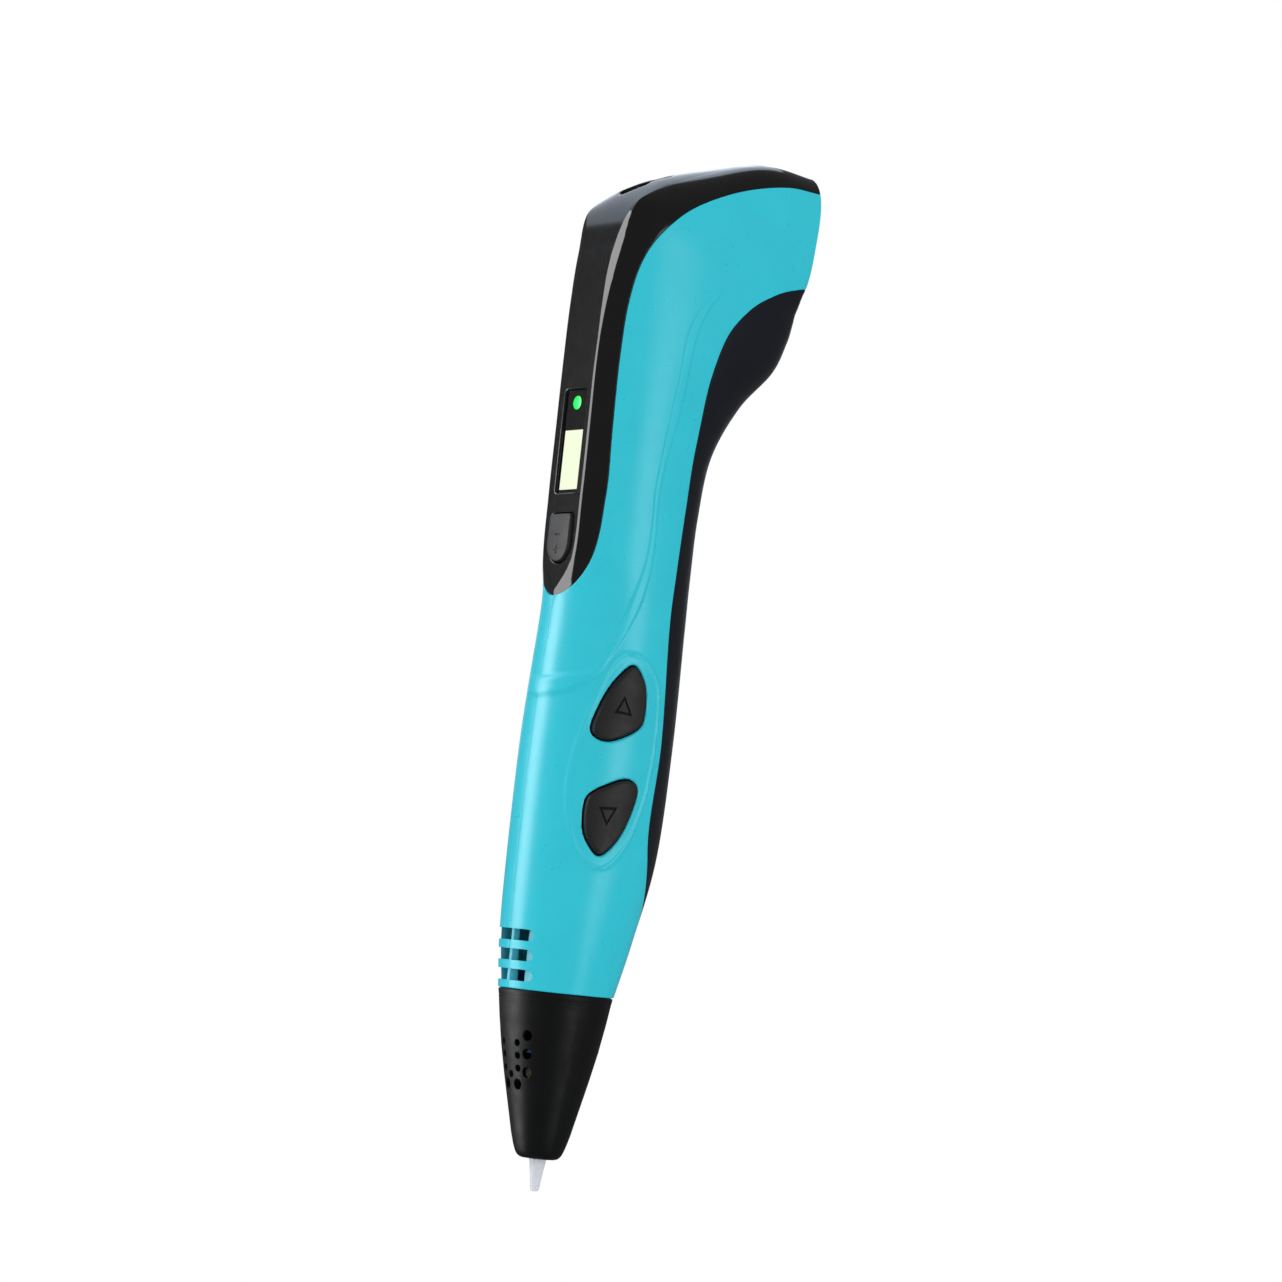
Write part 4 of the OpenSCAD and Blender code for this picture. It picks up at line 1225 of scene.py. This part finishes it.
# Painted light: a paler copy of the turquoise that colours the walls of the cooling slots and the screw
# wells, so that the slots' end walls look lit.
SLOT_WALL_PAINTED_LIGHT = plastic("slot_wall_painted_light", srgb(96, 208, 224), 0.35, 0.3, 0.002, 0.03)
MARK_DARK = plastic("engraved_mark", srgb(9, 9, 10), 0.7, 0.2, 0.004, 0.08)
ROCKER_MARK = plastic("rocker_mark", srgb(30, 30, 32), 0.6, 0.2, 0.004, 0.08)
PANEL_CUT = plastic("panel_cut_edge", srgb(16, 16, 17), 0.2, 0.4, 0.001, 0.06)
HOLE_DARK = plastic("cone_hole_wall", srgb(10, 10, 12), 0.7, 0.2, 0.004, 0.08)


# ---- pieces on their bodies ----

BODY_OF = {node: body for body, nodes in frame["record"]["behaviour"]["bodies"].items()
           for node in nodes}
SLOT_OF = {part["node"]: part["material_slot"] for part in frame["record"]["subparts"]}


def stands_for(piece, node):
    """The piece rides on the node's body and replaces the node."""
    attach(piece, BODY_OF[node])
    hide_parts(node)
    return piece


def material_of(node):
    return MATERIALS[SLOT_OF[node]]


stands_for(right_shell(material_of("right_shell"), BUTTON_GAP_PAINTED_SHADE, SLOT_WALL_PAINTED_LIGHT), "right_shell")
stands_for(left_shell(material_of("left_shell"), SLOT_WALL_PAINTED_LIGHT), "left_shell")
stands_for(screw_bosses(material_of("left_shell")), "left_shell")
stands_for(back_cover(material_of("back_cover")), "back_cover")
stands_for(face_panel(material_of("face_panel"), PANEL_CUT), "face_panel")
stands_for(cone(material_of("nozzle_cone"), HOLE_DARK), "nozzle_cone")
stands_for(nozzle(material_of("nozzle_tip")), "nozzle_tip")
stands_for(window(material_of("display_window")), "display_window")
stands_for(lit_screen(material_of("screen")), "screen")
stands_for(status_light(material_of("status_light")), "status_light")
stands_for(rocker(material_of("rocker_button"), ROCKER_MARK), "rocker_button")
for key in KEYS.values():
    stands_for(drive_button(key, material_of(key["node"]), MARK_DARK), key["node"])

for node, obj in frame["nodes"].items():
    if not obj.hide_render:
        obj.data.materials.clear()
        obj.data.materials.append(material_of(node))


# ---- camera, light and floor ----

VIEW_TURN = math.radians(55)
VIEW_ASIDE = 8.34
VIEW_TARGET = (VIEW_ASIDE * math.cos(VIEW_TURN), VIEW_ASIDE * math.sin(VIEW_TURN), 97.96)
VIEW_DISTANCE = 700
VIEW_HEIGHT = 42
VIEW_ROLL = math.radians(6.1)
VIEW_ANGLE = math.radians(18.34)
LIGHT_TARGET = (0, 0, 0.1)
LIGHT_DISTANCE = 0.9
BLUISH = (0.74, 0.85, 1.0)
ROOM_GLOSSY = 0.13
ROOM_DIFFUSE = 0.95


def look_at(place, target, roll=0.0):
    """World matrix at place, looking at target, with image up turned by roll."""
    place, target = Vector(place), Vector(target)
    back = (place - target).normalized()
    right = Vector((0, 0, 1)).cross(back).normalized()
    up = back.cross(right)
    turned_right = right * math.cos(roll) + up * math.sin(roll)
    turned_up = up * math.cos(roll) - right * math.sin(roll)
    matrix = Matrix((turned_right, turned_up, back)).transposed().to_4x4()
    matrix.translation = place
    return matrix


def add_camera():
    data = bpy.data.cameras.new("camera")
    data.sensor_width = 36
    data.lens = 18 / math.tan(VIEW_ANGLE / 2)
    data.clip_start, data.clip_end = 0.01, 20
    camera = in_scene("camera", data)
    place = Vector((VIEW_TARGET[0] + VIEW_DISTANCE * math.sin(VIEW_TURN),
                    VIEW_TARGET[1] - VIEW_DISTANCE * math.cos(VIEW_TURN), VIEW_HEIGHT)) * MM
    camera.matrix_world = look_at(place, Vector(VIEW_TARGET) * MM, VIEW_ROLL)
    bpy.context.scene.camera = camera


def add_softbox(name, turn, height, width, tall, radiance, colour=(1, 1, 1), glossy=True,
                diffuse=True):
    """Area light, in metres, seen from the pen at an angle round it (0 in front, 90 towards +X)."""
    data = bpy.data.lights.new(name, "AREA")
    data.shape = "RECTANGLE"
    data.size, data.size_y = width, tall
    data.color = colour
    data.energy = radiance * math.pi * width * tall
    light = in_scene(name, data)
    a = math.radians(turn)
    place = Vector((LIGHT_DISTANCE * math.sin(a), -LIGHT_DISTANCE * math.cos(a), height))
    light.matrix_world = look_at(place, LIGHT_TARGET)
    light.visible_camera = False
    light.visible_glossy = glossy
    light.visible_diffuse = diffuse


def add_world():
    """White backdrop; an even, dim room in reflections and a soft fill for diffuse light."""
    world = bpy.data.worlds.new("studio")
    bpy.context.scene.world = world
    world.use_nodes = True
    tree = world.node_tree
    background = tree.nodes["Background"]
    background.inputs["Color"].default_value = (1, 1, 1, 1)
    path = tree.nodes.new("ShaderNodeLightPath")
    fill = tree.nodes.new("ShaderNodeMapRange")
    fill.inputs["To Min"].default_value = ROOM_GLOSSY
    fill.inputs["To Max"].default_value = ROOM_DIFFUSE
    seen = tree.nodes.new("ShaderNodeMath")
    seen.operation = "MAXIMUM"
    link = tree.links.new
    link(path.outputs["Is Diffuse Ray"], fill.inputs["Value"])
    link(fill.outputs["Result"], seen.inputs[0])
    link(path.outputs["Is Camera Ray"], seen.inputs[1])
    link(seen.outputs[0], background.inputs["Strength"])


def add_floor():
    """Plain white floor below the pen, which the camera sees as bright as the backdrop."""
    size, drop = 4.0, 0.02
    mesh = bpy.data.meshes.new("floor")
    mesh.from_pydata([(-size, -size, -drop), (size, -size, -drop), (size, size, -drop),
                      (-size, size, -drop)], [], [(0, 1, 2, 3)])
    floor = in_scene("floor", mesh)
    material = bpy.data.materials.new("studio_white")
    material.use_nodes = True
    tree = material.node_tree
    glow = tree.nodes.new("ShaderNodeEmission")
    path = tree.nodes.new("ShaderNodeLightPath")
    mixed = tree.nodes.new("ShaderNodeMixShader")
    surface = tree.nodes["Principled BSDF"]
    surface.inputs["Base Color"].default_value = (0.8, 0.8, 0.8, 1)
    link = tree.links.new
    link(path.outputs["Is Camera Ray"], mixed.inputs[0])
    link(surface.outputs[0], mixed.inputs[1])
    link(glow.outputs[0], mixed.inputs[2])
    link(mixed.outputs[0], tree.nodes["Material Output"].inputs["Surface"])
    mesh.materials.append(material)
    floor.visible_glossy = False


add_camera()
add_world()
add_floor()
add_softbox("strip_left", -37, 0.11, 0.42, 1.3, 5.8, diffuse=False)
add_softbox("fill_left", -40, 0.11, 0.9, 1.3, 0.4, glossy=False)
add_softbox("soft_right", 102, -0.02, 0.42, 0.8, 2.2, diffuse=False)
add_softbox("soft_top", -85, 1.03, 2.0, 0.9, 1.3, BLUISH)
add_softbox("deck_glow", -125, 0.35, 0.9, 0.5, 0.6, BLUISH, diffuse=False)
bpy.context.scene.view_settings.view_transform = "Standard"
